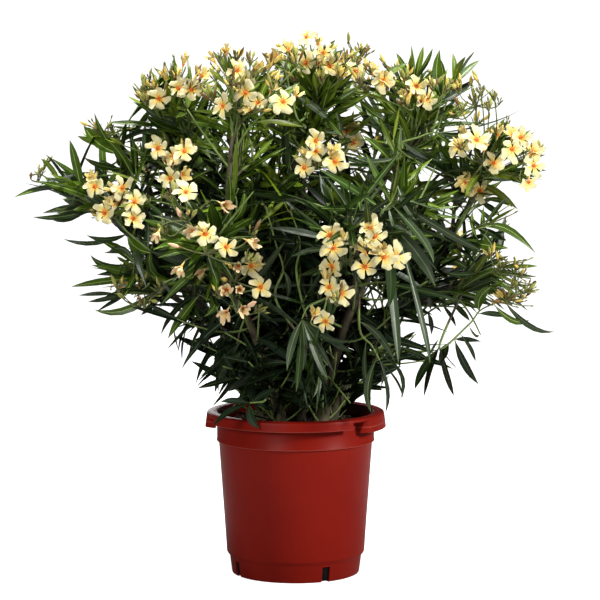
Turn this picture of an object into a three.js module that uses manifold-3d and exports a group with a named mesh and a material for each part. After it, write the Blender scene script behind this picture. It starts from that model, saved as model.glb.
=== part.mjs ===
// A potted oleander: a bushy evergreen shrub with several woody stems, in a plastic nursery container.
//
// Units are millimetres and +Z is up. The origin is the centre of the pot's flat underside, the viewer
// stands on the -Y side and +X is to the right. Each stem stands on the soil, each bough leaves a stem
// and ends in the mass of foliage that it carries, and neighbours keep a small gap.
import * as THREE from "three";
import { mergeVertices } from "three/addons/utils/BufferGeometryUtils.js";
import Module from "manifold-3d";

const wasm = await Module();
wasm.setup();

// ---------------------------------------------------------------- driving dimensions

const GAP = 0.3; // between neighbouring solids
const WELD = 1e-3; // points nearer than this are one point
const WALL = 2.8; // the pot's moulded wall

const POT = {
  height: 305,
  footRadius: 119.5,
  footRound: 3,
  lowBandRadius: 124, // the narrower band round the foot
  lowBandTop: 37,
  stepHeight: 6, // slope from the foot band out to the wall
  wallFootRadius: 128.5,
  wallTopRadius: 143.5,
  collarFoot: 243, // the raised band below the rim
  collarRadius: 147,
  floor: 4,
  rimRadius: 166,
  skirtDepth: 17.5, // the rim's turned-down edge
  skirtFlare: 3, // how far the skirt leans out over its depth
  handleDepth: 28, // the deeper skirt of the two grips
  handleSpan: 43, // degrees of rim that each grip takes
  handleTurn: -13, // degrees from +X to the middle of the right-hand grip
  padSpan: 26, // degrees, the thickened wall under each grip
  padFoot: 203,
  padDepth: 2,
  slots: 4,
  slotTurn: -62.4, // degrees from +X to the first drain slot
  slotWidth: 13.5,
  slotHeight: 29,
  slotDepth: 34, // inwards through the wall and the edge of the floor
  sides: 32,
};

const SOIL_TOP = 283;

const STEM = {
  sides: 8,
  steps: 5,
  flare: 5, // how much the foot is thicker, over about flareHeight
  flareHeight: 30,
  sunk: 12, // below the soil, where the cut at ground level is made
  bendAt: 0.35, // where the stem bends, as a share of its run
  bendRise: 0.3, // how much higher than a straight stem it runs there, as a share of its rise
};

const BOUGH = {
  sides: 5,
  steps: 5,
  footRadius: 6.5,
  tipRadius: 3.8,
  seat: 24, // how far the bough runs into its mass
  spring: 0.42, // where it bends, as a share of the way to its mass
  turn: 0.5, // 0 leaves along the stem, 1 straight towards the mass
};

const MASS = {
  detail: 2,
  lobes: 7,
  lobeHeight: 0.26, // as a share of the mass's half size
  lobeSharpness: 5,
  shrink: 0.9, // the surface between the lobes, as a share of the half size
  clearance: 2.5,
};

// Each stem: its foot on the soil (x, y), the fork where its boughs part (x, y, z), and its radii.
const STEMS = {
  front_right: { foot: [45, -40], fork: [122, -75, 545], radii: [13, 9] },
  front_left: { foot: [-25, -45], fork: [-105, -115, 520], radii: [12, 8] },
  middle: { foot: [6, 4], fork: [5, -30, 640], radii: [13, 9] },
  left: { foot: [-52, 4], fork: [-172, -10, 500], radii: [12, 8] },
  right: { foot: [60, 6], fork: [200, 10, 500], radii: [12, 8] },
  back_left: { foot: [-28, 46], fork: [-92, 125, 560], radii: [11, 8] },
  back_right: { foot: [30, 50], fork: [102, 125, 560], radii: [11, 8] },
};

// Each mass of foliage: its centre, its half sizes, the lean of its long side in degrees (positive lifts
// the +X end), and the stem it grows from, with how far up that stem its bough leaves.
const MASSES = {
  left_arm: { centre: [-388, -50, 712], half: [132, 100, 66], lean: -6, stem: "left", at: 0.9 },
  left_high: { centre: [-340, -14, 806], half: [74, 92, 60], lean: -20, stem: "left", at: 0.96 },
  left_low: { centre: [-292, -72, 558], half: [132, 105, 62], lean: 8, stem: "left", at: 0.7 },
  left_front: { centre: [-172, -245, 640], half: [98, 92, 84], lean: 0, stem: "front_left", at: 0.86 },
  top_left: { centre: [-228, -50, 882], half: [88, 105, 78], lean: 14, stem: "left", at: 1 },
  top_mid_left: { centre: [-100, -160, 902], half: [76, 92, 90], lean: 0, stem: "front_left", at: 1 },
  top_middle: { centre: [44, -70, 914], half: [86, 100, 96], lean: 0, stem: "middle", at: 1 },
  top_right: { centre: [238, -20, 884], half: [106, 108, 94], lean: -10, stem: "front_right", at: 1 },
  right_high: { centre: [362, -78, 782], half: [94, 100, 80], lean: -22, stem: "right", at: 1 },
  right_low: { centre: [352, -50, 570], half: [116, 110, 96], lean: 8, stem: "right", at: 0.78 },
  front_middle: { centre: [92, -280, 690], half: [90, 82, 104], lean: 0, stem: "front_right", at: 0.8 },
  mid_left: { centre: [-64, -95, 712], half: [82, 88, 104], lean: 0, stem: "middle", at: 0.76 },
  mid_right: { centre: [216, -190, 702], half: [82, 86, 104], lean: 0, stem: "front_right", at: 0.9 },
  low_left: { centre: [-118, -98, 436], half: [92, 82, 90], lean: 0, stem: "front_left", at: 0.16 },
  low_middle: { centre: [28, -158, 438], half: [76, 74, 96], lean: 0, stem: "front_right", at: 0.2 },
  low_right: { centre: [206, -88, 446], half: [104, 88, 94], lean: 0, stem: "right", at: 0.3 },
  back_left_high: { centre: [-222, 185, 796], half: [108, 104, 98], lean: 0, stem: "back_left", at: 1 },
  back_middle_high: { centre: [-12, 150, 884], half: [100, 104, 94], lean: 0, stem: "middle", at: 0.88 },
  back_right_high: { centre: [206, 190, 838], half: [108, 104, 96], lean: 0, stem: "back_right", at: 1 },
  back_left_low: { centre: [-232, 165, 560], half: [116, 104, 92], lean: 0, stem: "back_left", at: 0.72 },
  back_middle_low: { centre: [-4, 250, 620], half: [108, 88, 116], lean: 0, stem: "back_left", at: 0.88 },
  low_back_left: { centre: [-120, 96, 452], half: [88, 84, 90], lean: 0, stem: "back_left", at: 0.3 },
  low_back_right: { centre: [124, 92, 450], half: [90, 84, 88], lean: 0, stem: "back_right", at: 0.3 },
  back_right_low: { centre: [246, 170, 556], half: [112, 104, 94], lean: 0, stem: "back_right", at: 0.8 },
};

const material = (color, roughness) => new THREE.MeshStandardMaterial({ color, roughness, metalness: 0 });
const MATERIALS = {
  pot: material(0x7d1c16, 0.45),
  soil: material(0x1d130d, 1),
  stem: material(0x5a4c35, 0.85),
  bough: material(0x55602f, 0.75),
  foliage: material(0x24401f, 0.5),
};

// ---------------------------------------------------------------- solids

const radians = THREE.MathUtils.degToRad;

// A closed geometry as a manifold-3d solid.
function solidOf(geometry) {
  const bare = geometry.index ? geometry.toNonIndexed() : geometry.clone();
  bare.deleteAttribute("normal");
  bare.deleteAttribute("uv");
  const merged = mergeVertices(bare, WELD);
  const solid = new wasm.Manifold(
    new wasm.Mesh({
      numProp: 3,
      vertProperties: merged.attributes.position.array,
      triVerts: new Uint32Array(merged.index.array),
    }),
  );
  if (solid.volume() < 0) throw new Error("a solid's faces point inwards");
  return solid;
}

// A solid as a geometry.
function geometryOf(solid) {
  const made = solid.getMesh();
  return new THREE.BufferGeometry()
    .setAttribute("position", new THREE.BufferAttribute(made.vertProperties, 3))
    .setIndex(new THREE.BufferAttribute(made.triVerts, 1));
}

// The largest body of a solid that a cut may have left in several, with its slivers merged away.
function largest(solid) {
  const biggest = (bodies) => bodies.reduce((best, body) => (body.volume() > best.volume() ? body : best));
  return biggest(solidOf(geometryOf(biggest(solid.decompose()))).decompose());
}

// A solid as a named mesh.
function meshOf(name, solid, finish) {
  const geometry = geometryOf(solid);
  geometry.computeVertexNormals();
  const mesh = new THREE.Mesh(geometry, finish);
  mesh.name = name;
  return mesh;
}

const without = (solid, cutters) => cutters.reduce((left, cutter) => left.subtract(cutter), solid);

// A solid of revolution about Z from a profile of [radius, height] pairs.
function turned(profile) {
  const points = profile.map(([radius, height]) => new THREE.Vector2(radius, height));
  return solidOf(new THREE.LatheGeometry(points, POT.sides).rotateX(Math.PI / 2));
}

// An upright wedge about Z, `span` degrees wide and centred on `turn`, from `low` to `high`.
function wedge(turn, span, low, high) {
  const [from, to] = [radians(turn - span / 2), radians(turn + span / 2)];
  const outline = new THREE.Shape().moveTo(0, 0).absarc(0, 0, 2 * POT.rimRadius, from, to);
  outline.closePath();
  const slab = new THREE.ExtrudeGeometry(outline, { depth: high - low, bevelEnabled: false, curveSegments: 12 });
  return solidOf(slab.translate(0, 0, low));
}

// ---------------------------------------------------------------- pot and soil

// The rim's turned-down edge as a ring, `depth` deep, leaning out as it goes down.
function skirt(depth) {
  const lean = (POT.skirtFlare * depth) / POT.handleDepth;
  const [top, foot, radius] = [POT.height - WALL, POT.height - depth, POT.rimRadius];
  return turned([
    [radius - WALL, top],
    [radius - WALL + lean, foot],
    [radius + lean, foot],
    [radius, top],
    [radius - WALL, top],
  ]);
}

// The outside of the pot's wall as [radius, height] pairs from the foot up.
const wallProfile = [
  [POT.footRadius, POT.footRound],
  [POT.lowBandRadius, POT.lowBandTop],
  [POT.wallFootRadius, POT.lowBandTop + POT.stepHeight],
  [POT.wallTopRadius, POT.collarFoot - WALL],
  [POT.collarRadius, POT.collarFoot],
];

function potSolid() {
  const inside = wallProfile.map(([radius, height]) => [radius - WALL, Math.max(height, POT.floor)]);
  const shell = turned([
    [0, 0],
    [POT.footRadius - POT.footRound, 0],
    ...wallProfile,
    [POT.collarRadius, POT.height - WALL],
    [POT.rimRadius, POT.height - WALL],
    [POT.rimRadius - 0.7 * WALL, POT.height],
    [POT.collarRadius - 0.5 * WALL, POT.height],
    [POT.collarRadius - WALL, POT.height - WALL],
    ...inside.reverse(),
    [0, POT.floor],
  ]);
  const pad = turned([
    [POT.wallFootRadius, POT.padFoot],
    [POT.wallTopRadius + POT.padDepth, POT.padFoot],
    [POT.collarRadius + POT.padDepth, POT.collarFoot],
    [POT.collarRadius + POT.padDepth, POT.height - WALL],
    [POT.wallTopRadius, POT.height - WALL],
    [POT.wallFootRadius, POT.padFoot],
  ]).subtract(turned([
    [0, POT.padFoot - 1],
    [POT.wallTopRadius - 0.7 * WALL, POT.padFoot - 1],
    [POT.wallTopRadius - 0.7 * WALL, POT.height - 0.5 * WALL],
    [0, POT.height - 0.5 * WALL],
  ]));
  let pot = shell.add(skirt(POT.skirtDepth));
  for (const turn of [POT.handleTurn, POT.handleTurn + 180]) {
    pot = pot.add(skirt(POT.handleDepth).intersect(wedge(turn, POT.handleSpan, 0, POT.height)));
    pot = pot.add(pad.intersect(wedge(turn, POT.padSpan, 0, POT.height)));
  }
  return without(pot, drainSlots());
}

// The drain slots, each cut through the wall and the edge of the floor.
function drainSlots() {
  return Array.from({ length: POT.slots }, (_, i) => {
    const slot = new THREE.BoxGeometry(POT.slotDepth, POT.slotWidth, 2 * POT.slotHeight);
    slot.translate(POT.lowBandRadius, 0, 0).rotateZ(radians(POT.slotTurn + (i * 360) / POT.slots));
    return solidOf(slot);
  });
}

// The soil fills the pot, clear of its wall and floor by `-grow`.
function soilSolid(grow) {
  const bed = wallProfile.map(([radius, height]) => [radius - WALL + grow, Math.max(height, POT.floor - grow)]);
  return turned([
    [0, POT.floor - grow],
    ...bed,
    [POT.collarRadius - WALL + grow, SOIL_TOP + Math.max(grow, 0)],
    [0, SOIL_TOP + Math.max(grow, 0)],
  ]);
}

// ---------------------------------------------------------------- stems and boughs

// A round tapered limb along a curve that lies in one plane, between two shares of the curve's length.
function limbSolid(curve, from, to, radiusAt, { sides, steps }) {
  const [start, bend, end] = [curve.v0, curve.v1, curve.v2];
  const normal = new THREE.Vector3().crossVectors(bend.clone().sub(start), end.clone().sub(bend));
  if (normal.length() < 1) normal.set(0, 1, 0);
  normal.normalize();
  const tube = new THREE.CylinderGeometry(1, 1, 1, sides, steps);
  const place = tube.attributes.position;
  for (let i = 0; i < place.count; i++) {
    const along = THREE.MathUtils.lerp(from, to, place.getY(i) + 0.5);
    const tangent = curve.getTangent(THREE.MathUtils.clamp(along, 0, 1));
    const side = new THREE.Vector3().crossVectors(normal, tangent).normalize();
    const radius = radiusAt(along);
    const at = curve.getPoint(along);
    at.addScaledVector(side, -place.getX(i) * radius).addScaledVector(normal, place.getZ(i) * radius);
    place.setXYZ(i, at.x, at.y, at.z);
  }
  return solidOf(tube);
}

// A stem's centre line: it leaves the soil steeply and leans out to its fork.
function stemCurve({ foot, fork }) {
  const ground = new THREE.Vector3(foot[0], foot[1], SOIL_TOP - STEM.sunk);
  const top = new THREE.Vector3(...fork);
  const bend = ground.clone().lerp(top, STEM.bendAt);
  bend.z += STEM.bendRise * (top.z - ground.z);
  return new THREE.QuadraticBezierCurve3(ground, bend, top);
}

function stemSolid(stem, grow) {
  const curve = stemCurve(stem);
  const height = stem.fork[2] - SOIL_TOP;
  const radiusAt = (t) => {
    const flare = STEM.flare * Math.exp((-t * height) / STEM.flareHeight);
    return THREE.MathUtils.lerp(...stem.radii, t) + flare + grow;
  };
  const beyond = grow / curve.getLength();
  return limbSolid(curve, -beyond, 1 + beyond, radiusAt, STEM);
}

// A bough's centre line: it springs from its stem part of the way along it, then bends to the middle of its mass.
function boughCurve(mass) {
  const stem = stemCurve(STEMS[mass.stem]);
  const start = stem.getPoint(mass.at);
  const end = new THREE.Vector3(...mass.centre);
  const toward = end.clone().sub(start).normalize();
  const spring = stem.getTangent(mass.at).lerp(toward, BOUGH.turn).multiplyScalar(BOUGH.spring * start.distanceTo(end));
  return new THREE.QuadraticBezierCurve3(start, start.clone().add(spring), end);
}

// How far along its curve a bough runs: to where it has entered its mass by the depth of its seat.
function boughReach(mass, curve) {
  const isIn = massTest(mass);
  const steps = 100;
  let entry = 0;
  while (entry < steps && !isIn(curve.getPoint(entry / steps))) entry++;
  return Math.min(1, entry / steps + BOUGH.seat / curve.getLength());
}

function boughSolid(mass, grow) {
  const curve = boughCurve(mass);
  const radiusAt = (t) => THREE.MathUtils.lerp(BOUGH.footRadius, BOUGH.tipRadius, t) + grow;
  const beyond = grow / curve.getLength();
  return limbSolid(curve, -beyond, boughReach(mass, curve) + beyond, radiusAt, BOUGH);
}

// ---------------------------------------------------------------- foliage

// Repeatable random numbers from 0 to 1.
function randomFrom(seed) {
  let state = seed;
  return () => {
    state = (state + 0x6d2b79f5) | 0;
    let mixed = Math.imul(state ^ (state >>> 15), 1 | state);
    mixed = (mixed + Math.imul(mixed ^ (mixed >>> 7), 61 | mixed)) ^ mixed;
    return ((mixed ^ (mixed >>> 14)) >>> 0) / 4294967296;
  };
}

// A mass's lumps: the directions in which its sprays of leaves stand out.
function lobesOf(mass) {
  const random = randomFrom(1 + Object.values(MASSES).indexOf(mass));
  return Array.from({ length: MASS.lobes }, () => {
    const height = 2 * random() - 1;
    const turn = 2 * Math.PI * random();
    const flat = Math.sqrt(1 - height * height);
    return { toward: new THREE.Vector3(flat * Math.cos(turn), flat * Math.sin(turn), height), size: 0.5 + random() };
  });
}

// A mass's surface in a unit direction, as a share of its half sizes.
function massShare(lobes, direction) {
  const lumps = lobes.map(({ toward, size }) => size * Math.max(0, direction.dot(toward)) ** MASS.lobeSharpness);
  return MASS.shrink + MASS.lobeHeight * Math.min(1, Math.max(...lumps));
}

// Turns a point of a mass's own frame into the plant's frame.
function massFrame(mass) {
  const lean = new THREE.Quaternion().setFromAxisAngle(new THREE.Vector3(0, -1, 0), radians(mass.lean));
  return new THREE.Matrix4().compose(new THREE.Vector3(...mass.centre), lean, new THREE.Vector3(...mass.half));
}

function massTest(mass) {
  const toUnit = massFrame(mass).invert();
  const lobes = lobesOf(mass);
  return (point) => {
    const unit = point.clone().applyMatrix4(toUnit);
    return unit.length() < massShare(lobes, unit.clone().normalize());
  };
}

function massSolid(mass, grow) {
  const lobes = lobesOf(mass);
  const frame = massFrame(mass);
  const ball = new THREE.IcosahedronGeometry(1, MASS.detail);
  const place = ball.attributes.position;
  const smallest = Math.min(...mass.half);
  for (let i = 0; i < place.count; i++) {
    const direction = new THREE.Vector3().fromBufferAttribute(place, i).normalize();
    const at = direction.clone().multiplyScalar(massShare(lobes, direction) + grow / smallest).applyMatrix4(frame);
    place.setXYZ(i, at.x, at.y, at.z);
  }
  return solidOf(ball);
}

// ---------------------------------------------------------------- the plant

const plant = new THREE.Group();
plant.add(meshOf("pot", potSolid(), MATERIALS.pot));
plant.add(meshOf("soil", soilSolid(-GAP), MATERIALS.soil));

const grown = [soilSolid(GAP)]; // each solid so far, thicker by the gap, to cut the next ones clear of it

for (const [name, stem] of Object.entries(STEMS)) {
  plant.add(meshOf(`stem_${name}`, largest(without(stemSolid(stem, 0), grown)), MATERIALS.stem));
  grown.push(stemSolid(stem, GAP));
}
for (const [name, mass] of Object.entries(MASSES)) {
  plant.add(meshOf(`bough_${name}`, largest(without(boughSolid(mass, 0), grown)), MATERIALS.bough));
  grown.push(boughSolid(mass, GAP));
}
for (const [name, mass] of Object.entries(MASSES)) {
  plant.add(meshOf(`foliage_${name}`, largest(without(massSolid(mass, 0), grown)), MATERIALS.foliage));
  grown.push(massSolid(mass, MASS.clearance));
}

export default plant;
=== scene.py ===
"""A potted oleander: a moulded pot, potting mix, woody stems and boughs, leafy shoots and blossom.

Units are metres and +Z is up. The origin is the centre of the pot's flat underside, the plant's front
looks towards -Y and +X is to the right of someone who faces it. The limbs follow the same named sizes
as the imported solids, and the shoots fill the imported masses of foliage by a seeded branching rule.
"""

from __future__ import annotations

import logging
import math
from dataclasses import dataclass, field
from enum import Enum
from functools import lru_cache
from typing import Callable, Sequence

import bpy
import numpy as np
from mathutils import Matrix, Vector, noise
from mathutils.bvhtree import BVHTree

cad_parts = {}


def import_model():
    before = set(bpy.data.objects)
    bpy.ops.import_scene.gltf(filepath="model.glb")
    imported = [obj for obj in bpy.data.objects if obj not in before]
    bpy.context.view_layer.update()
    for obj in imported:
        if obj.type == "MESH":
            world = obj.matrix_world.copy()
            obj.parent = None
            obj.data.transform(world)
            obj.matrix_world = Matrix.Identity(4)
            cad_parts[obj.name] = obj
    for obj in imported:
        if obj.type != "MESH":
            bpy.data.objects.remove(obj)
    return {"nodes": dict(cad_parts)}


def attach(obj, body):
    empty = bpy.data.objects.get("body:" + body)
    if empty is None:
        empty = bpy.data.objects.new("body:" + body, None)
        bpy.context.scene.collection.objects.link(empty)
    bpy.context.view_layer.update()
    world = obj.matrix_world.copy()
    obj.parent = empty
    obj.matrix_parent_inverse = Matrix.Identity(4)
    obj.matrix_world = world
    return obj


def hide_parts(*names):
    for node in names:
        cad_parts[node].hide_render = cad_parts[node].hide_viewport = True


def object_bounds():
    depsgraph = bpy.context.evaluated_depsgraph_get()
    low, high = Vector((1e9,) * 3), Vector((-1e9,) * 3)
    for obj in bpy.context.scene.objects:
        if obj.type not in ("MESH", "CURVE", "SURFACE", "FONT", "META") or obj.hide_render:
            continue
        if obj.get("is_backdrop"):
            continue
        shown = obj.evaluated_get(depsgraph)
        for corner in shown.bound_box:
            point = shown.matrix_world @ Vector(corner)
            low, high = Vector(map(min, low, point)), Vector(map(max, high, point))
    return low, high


LOG = logging.getLogger("oleander")
BODY = "root"
MM = 0.001
UP = np.array([0.0, 0.0, 1.0])
FRONT = np.array([0.0, -1.0, 0.0])
GOLDEN_TURN = math.pi * (3.0 - math.sqrt(5.0))

Colour = tuple[float, float, float]
Array = np.ndarray
Chance = np.random.Generator
Plug = bpy.types.NodeSocket


# ---------------------------------------------------------------- vectors and curves


def length_of(vector: Array) -> float:
    """A vector's length."""
    return float(np.linalg.norm(vector))


def unit(vectors: Array) -> Array:
    """Scales each vector to length one."""
    return vectors / np.maximum(np.linalg.norm(vectors, axis=-1, keepdims=True), 1e-9)


def square_to(vectors: Array, axes: Array) -> Array:
    """Takes out of each vector what runs along its axis, and scales the rest to length one."""
    along = np.sum(vectors * axes, axis=-1, keepdims=True)
    return unit(vectors - along * axes)


def any_side(axis: Array) -> Array:
    """A unit vector square to the axis."""
    helper = UP if abs(axis[2]) < 0.9 else np.array([1.0, 0.0, 0.0])
    return unit(np.cross(axis, helper))


def turned_about(vector: Array, axis: Array, angle: float) -> Array:
    """Turns a vector that is square to the axis about that axis."""
    return vector * math.cos(angle) + np.cross(axis, vector) * math.sin(angle)


def bow(start: Array, bend: Array, end: Array, shares: Array) -> Array:
    """Points of a quadratic curve.

    Args:
        start: Where the curve begins.
        bend: The point that it bends towards.
        end: Where it ends.
        shares: Shares of the curve, from 0 to 1.

    Returns:
        One point for each share.
    """
    t = np.asarray(shares, float)[:, None]
    return (1 - t) ** 2 * start + 2 * t * (1 - t) * bend + t**2 * end


@dataclass(frozen=True)
class Axis:
    """A bowed line that carries leaves, with how far its end is from the shoot's tip."""

    start: Array
    bend: Array
    end: Array
    past_tip: float = 0.0

    @property
    def span(self) -> float:
        """About how long it is."""
        return (length_of(self.bend - self.start) + length_of(self.end - self.bend)) * 0.96

    def points(self, shares: Sequence[float]) -> Array:
        """The points at some shares of it."""
        return bow(self.start, self.bend, self.end, np.asarray(shares))

    def point(self, share: float) -> Array:
        """The point at a share of it."""
        return self.points([share])[0]

    def tangent(self, share: float) -> Array:
        """The direction at a share of it."""
        return unit((1 - share) * (self.bend - self.start) + share * (self.end - self.bend))


def blend(low: float, high: float, share: float | Array) -> float | Array:
    """The value between low and high at a share from 0 to 1."""
    return low + (high - low) * share


def smooth_through(points: Sequence[Array], steps: int) -> Array:
    """A smooth line through a few points.

    Args:
        points: The points.
        steps: How many steps it takes from each point to the next.

    Returns:
        The line's points.
    """
    knots = [2 * points[0] - points[1], *points, 2 * points[-1] - points[-2]]
    line = []
    for a, b, c, d in zip(knots, knots[1:], knots[2:], knots[3:]):
        slope, bulge, twist = c - a, 2 * a - 5 * b + 4 * c - d, 3 * b - a - 3 * c + d
        for t in np.arange(steps) / steps:
            line.append(0.5 * (2 * b + slope * t + bulge * t**2 + twist * t**3))
    line.append(points[-1])
    return np.array(line)


def lump(point: Array, scale: float, seed: float = 0.0) -> float:
    """Smooth noise from -1 to 1 at a point, with lumps of about the given size."""
    return noise.noise(Vector(point / scale) + Vector((seed, 0.0, 0.0)))


# ---------------------------------------------------------------- node groups


class NodeDraft:
    """A node tree that is being built."""

    def __init__(self, tree: bpy.types.NodeTree) -> None:
        """Starts from a tree."""
        self.tree = tree

    def node(self, kind: str, inputs: dict | None = None, **values: object) -> bpy.types.Node:
        """Adds a node.

        Args:
            kind: Its type.
            inputs: Values for its inputs, or the sockets that feed them.
            values: Values for its named properties.

        Returns:
            The node.
        """
        made = self.tree.nodes.new(kind)
        for name, value in values.items():
            setattr(made, name, value)
        for name, value in (inputs or {}).items():
            self.give(made.inputs[name], value)
        return made

    def give(self, socket: Plug, value: object) -> None:
        """Links a socket to another, or sets its value.

        Args:
            socket: The input.
            value: The socket that feeds it, or its value.
        """
        if isinstance(value, Plug):
            self.tree.links.new(value, socket)
        else:
            socket.default_value = value


class EffectGroup(NodeDraft):
    """A shader node group that several finishes share, built once."""

    def __init__(self, name: str, inputs: dict[str, float | tuple[float, ...]], output: str) -> None:
        """Makes the empty group with its sockets.

        Args:
            name: The group's name.
            inputs: The first value of each input: a number or a colour.
            output: The name of its output.
        """
        super().__init__(bpy.data.node_groups.new(name, "ShaderNodeTree"))
        for label, value in inputs.items():
            kind = "NodeSocketColor" if isinstance(value, tuple) else "NodeSocketFloat"
            made = self.tree.interface.new_socket(label, in_out="INPUT", socket_type=kind)
            made.default_value = value
        kind = "NodeSocketColor" if output == "Color" else "NodeSocketFloat"
        self.tree.interface.new_socket(output, in_out="OUTPUT", socket_type=kind)
        self.given = self.node("NodeGroupInput").outputs
        self.output = output

    def finished(self, value: Plug) -> bpy.types.NodeTree:
        """Links the group's output, and gives its tree."""
        self.node("NodeGroupOutput", {self.output: value})
        return self.tree

    def noise(self, detail: float, place: Plug | None = None) -> Plug:
        """Noise from 0 to 1 at the input Scale, over the piece's own coordinates or another place.

        Args:
            detail: How many finer layers it has.
            place: Where it is read, or none for the piece's own coordinates.

        Returns:
            The noise.
        """
        if place is None:
            place = self.node("ShaderNodeTexCoord").outputs["Object"]
        inputs = {"Detail": detail, "Vector": place, "Scale": self.given["Scale"]}
        return self.node("ShaderNodeTexNoise", inputs).outputs["Fac"]


@lru_cache(maxsize=None)
def mottle_group() -> bpy.types.NodeTree:
    """Two colours in soft patches: Dark, Light, Scale and Contrast in, Color out.

    Returns:
        The node group.
    """
    dark, light = (0.1, 0.1, 0.1, 1.0), (0.3, 0.3, 0.3, 1.0)
    group = EffectGroup("mottle", {"Dark": dark, "Light": light, "Scale": 40.0, "Contrast": 0.2}, "Color")
    given = group.given
    low = group.node("ShaderNodeMath", {0: 0.5, 1: given["Contrast"]}, operation="SUBTRACT")
    high = group.node("ShaderNodeMath", {0: 0.5, 1: given["Contrast"]}, operation="ADD")
    limits = {"Value": group.noise(4.0), "From Min": low.outputs[0], "From Max": high.outputs[0]}
    spread = group.node("ShaderNodeMapRange", limits)
    sides = {"Factor": spread.outputs[0], "A": given["Dark"], "B": given["Light"]}
    return group.finished(group.node("ShaderNodeMix", sides, data_type="RGBA").outputs["Result"])


@lru_cache(maxsize=None)
def sheen_group() -> bpy.types.NodeTree:
    """Roughness that wanders between two values: Smooth, Rough and Scale in, Roughness out.

    Returns:
        The node group.
    """
    group = EffectGroup("uneven_gloss", {"Smooth": 0.35, "Rough": 0.55, "Scale": 60.0}, "Roughness")
    limits = {"Value": group.noise(3.0), "To Min": group.given["Smooth"], "To Max": group.given["Rough"]}
    return group.finished(group.node("ShaderNodeMapRange", limits).outputs[0])


@lru_cache(maxsize=None)
def grain_group() -> bpy.types.NodeTree:
    """Fine relief of two sizes: Scale and Fine Share in, Height out.

    Returns:
        The node group.
    """
    group = EffectGroup("grain", {"Scale": 200.0, "Fine Share": 0.4}, "Height")
    finer = group.node("ShaderNodeMath", {0: group.given["Scale"], 1: 2.7}, operation="MULTIPLY")
    place = group.node("ShaderNodeTexCoord").outputs["Object"]
    cells = group.node("ShaderNodeTexVoronoi", {"Scale": finer.outputs[0], "Vector": place})
    sides = {"Factor": group.given["Fine Share"], "A": group.noise(2.0), "B": cells.outputs["Distance"]}
    return group.finished(group.node("ShaderNodeMix", sides, data_type="FLOAT").outputs["Result"])


@lru_cache(maxsize=None)
def furrow_group() -> bpy.types.NodeTree:
    """Furrows that run up a limb: Scale and Stretch in, Height out.

    Returns:
        The node group.
    """
    group = EffectGroup("furrows", {"Scale": 160.0, "Stretch": 0.12}, "Height")
    place = group.node("ShaderNodeTexCoord").outputs["Object"]
    ends = group.node("ShaderNodeCombineXYZ", {"X": 1.0, "Y": 1.0, "Z": group.given["Stretch"]})
    squeeze = group.node("ShaderNodeVectorMath", {0: place, 1: ends.outputs[0]}, operation="MULTIPLY")
    return group.finished(group.noise(5.0, squeeze.outputs[0]))


# ---------------------------------------------------------------- finishes


class MaterialDraft(NodeDraft):
    """A material with one Principled shader, and helpers to add the shared effects to it."""

    def __init__(self, name: str) -> None:
        """Starts the material, named after its finish.

        Args:
            name: Its name.
        """
        self.material = bpy.data.materials.new(name)
        self.material.use_nodes = True
        super().__init__(self.material.node_tree)
        self.shader = self.tree.nodes["Principled BSDF"]

    def effect(self, group: bpy.types.NodeTree, **values: object) -> Plug:
        """Places a shared group, with _ for each space in an input's name, and gives its output."""
        inputs = {name.replace("_", " "): value for name, value in values.items()}
        return self.node("ShaderNodeGroup", inputs=inputs, node_tree=group).outputs[0]

    def relief(self, height: Plug, depth: float, strength: float) -> None:
        """Bumps the surface by a height from 0 to 1, which stand the depth apart in metres."""
        inputs = {"Strength": strength, "Distance": depth, "Height": height}
        self.set(Normal=self.node("ShaderNodeBump", inputs).outputs["Normal"])

    def set(self, **values: object) -> None:
        """Sets or feeds the shader's sockets, with _ for each space in a socket's name."""
        for name, value in values.items():
            self.give(self.shader.inputs[name.replace("_", " ")], value)


def rgba(colour: Colour) -> tuple[float, float, float, float]:
    """A colour with full alpha."""
    return (*colour, 1.0)


@dataclass(frozen=True)
class Finish:
    """How a surface looks. Each kind of finish makes its own material once."""

    name: str
    colour: Colour

    def make(self) -> bpy.types.Material:
        """Builds the material."""
        raise NotImplementedError


@dataclass(frozen=True)
class LeafFinish(Finish):
    """A leathery leaf in one plain green, with an uneven waxy gloss and fine side veins."""

    smooth: float = 0.24
    rough: float = 0.42
    shine: float = 0.2

    def make(self) -> bpy.types.Material:
        """Builds the material.

        Returns:
            The material.
        """
        draft = MaterialDraft(self.name)
        draft.set(Base_Color=rgba(self.colour), Specular_IOR_Level=self.shine)
        draft.set(Roughness=draft.effect(sheen_group(), Smooth=self.smooth, Rough=self.rough, Scale=90.0))
        draft.relief(draft.effect(grain_group(), Scale=420.0, Fine_Share=0.5), 0.25 * MM, 0.5)
        return draft.material


@dataclass(frozen=True)
class PetalFinish(Finish):
    """Thin velvety petal tissue in one plain colour, with a soft fold relief."""

    def make(self) -> bpy.types.Material:
        """Builds the material.

        Returns:
            The material.
        """
        draft = MaterialDraft(self.name)
        draft.set(Base_Color=rgba(self.colour), Specular_IOR_Level=0.25, Sheen_Weight=0.15)
        draft.set(Roughness=draft.effect(sheen_group(), Smooth=0.5, Rough=0.75, Scale=150.0))
        draft.relief(draft.effect(grain_group(), Scale=260.0, Fine_Share=0.25), 0.5 * MM, 0.35)
        return draft.material


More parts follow.
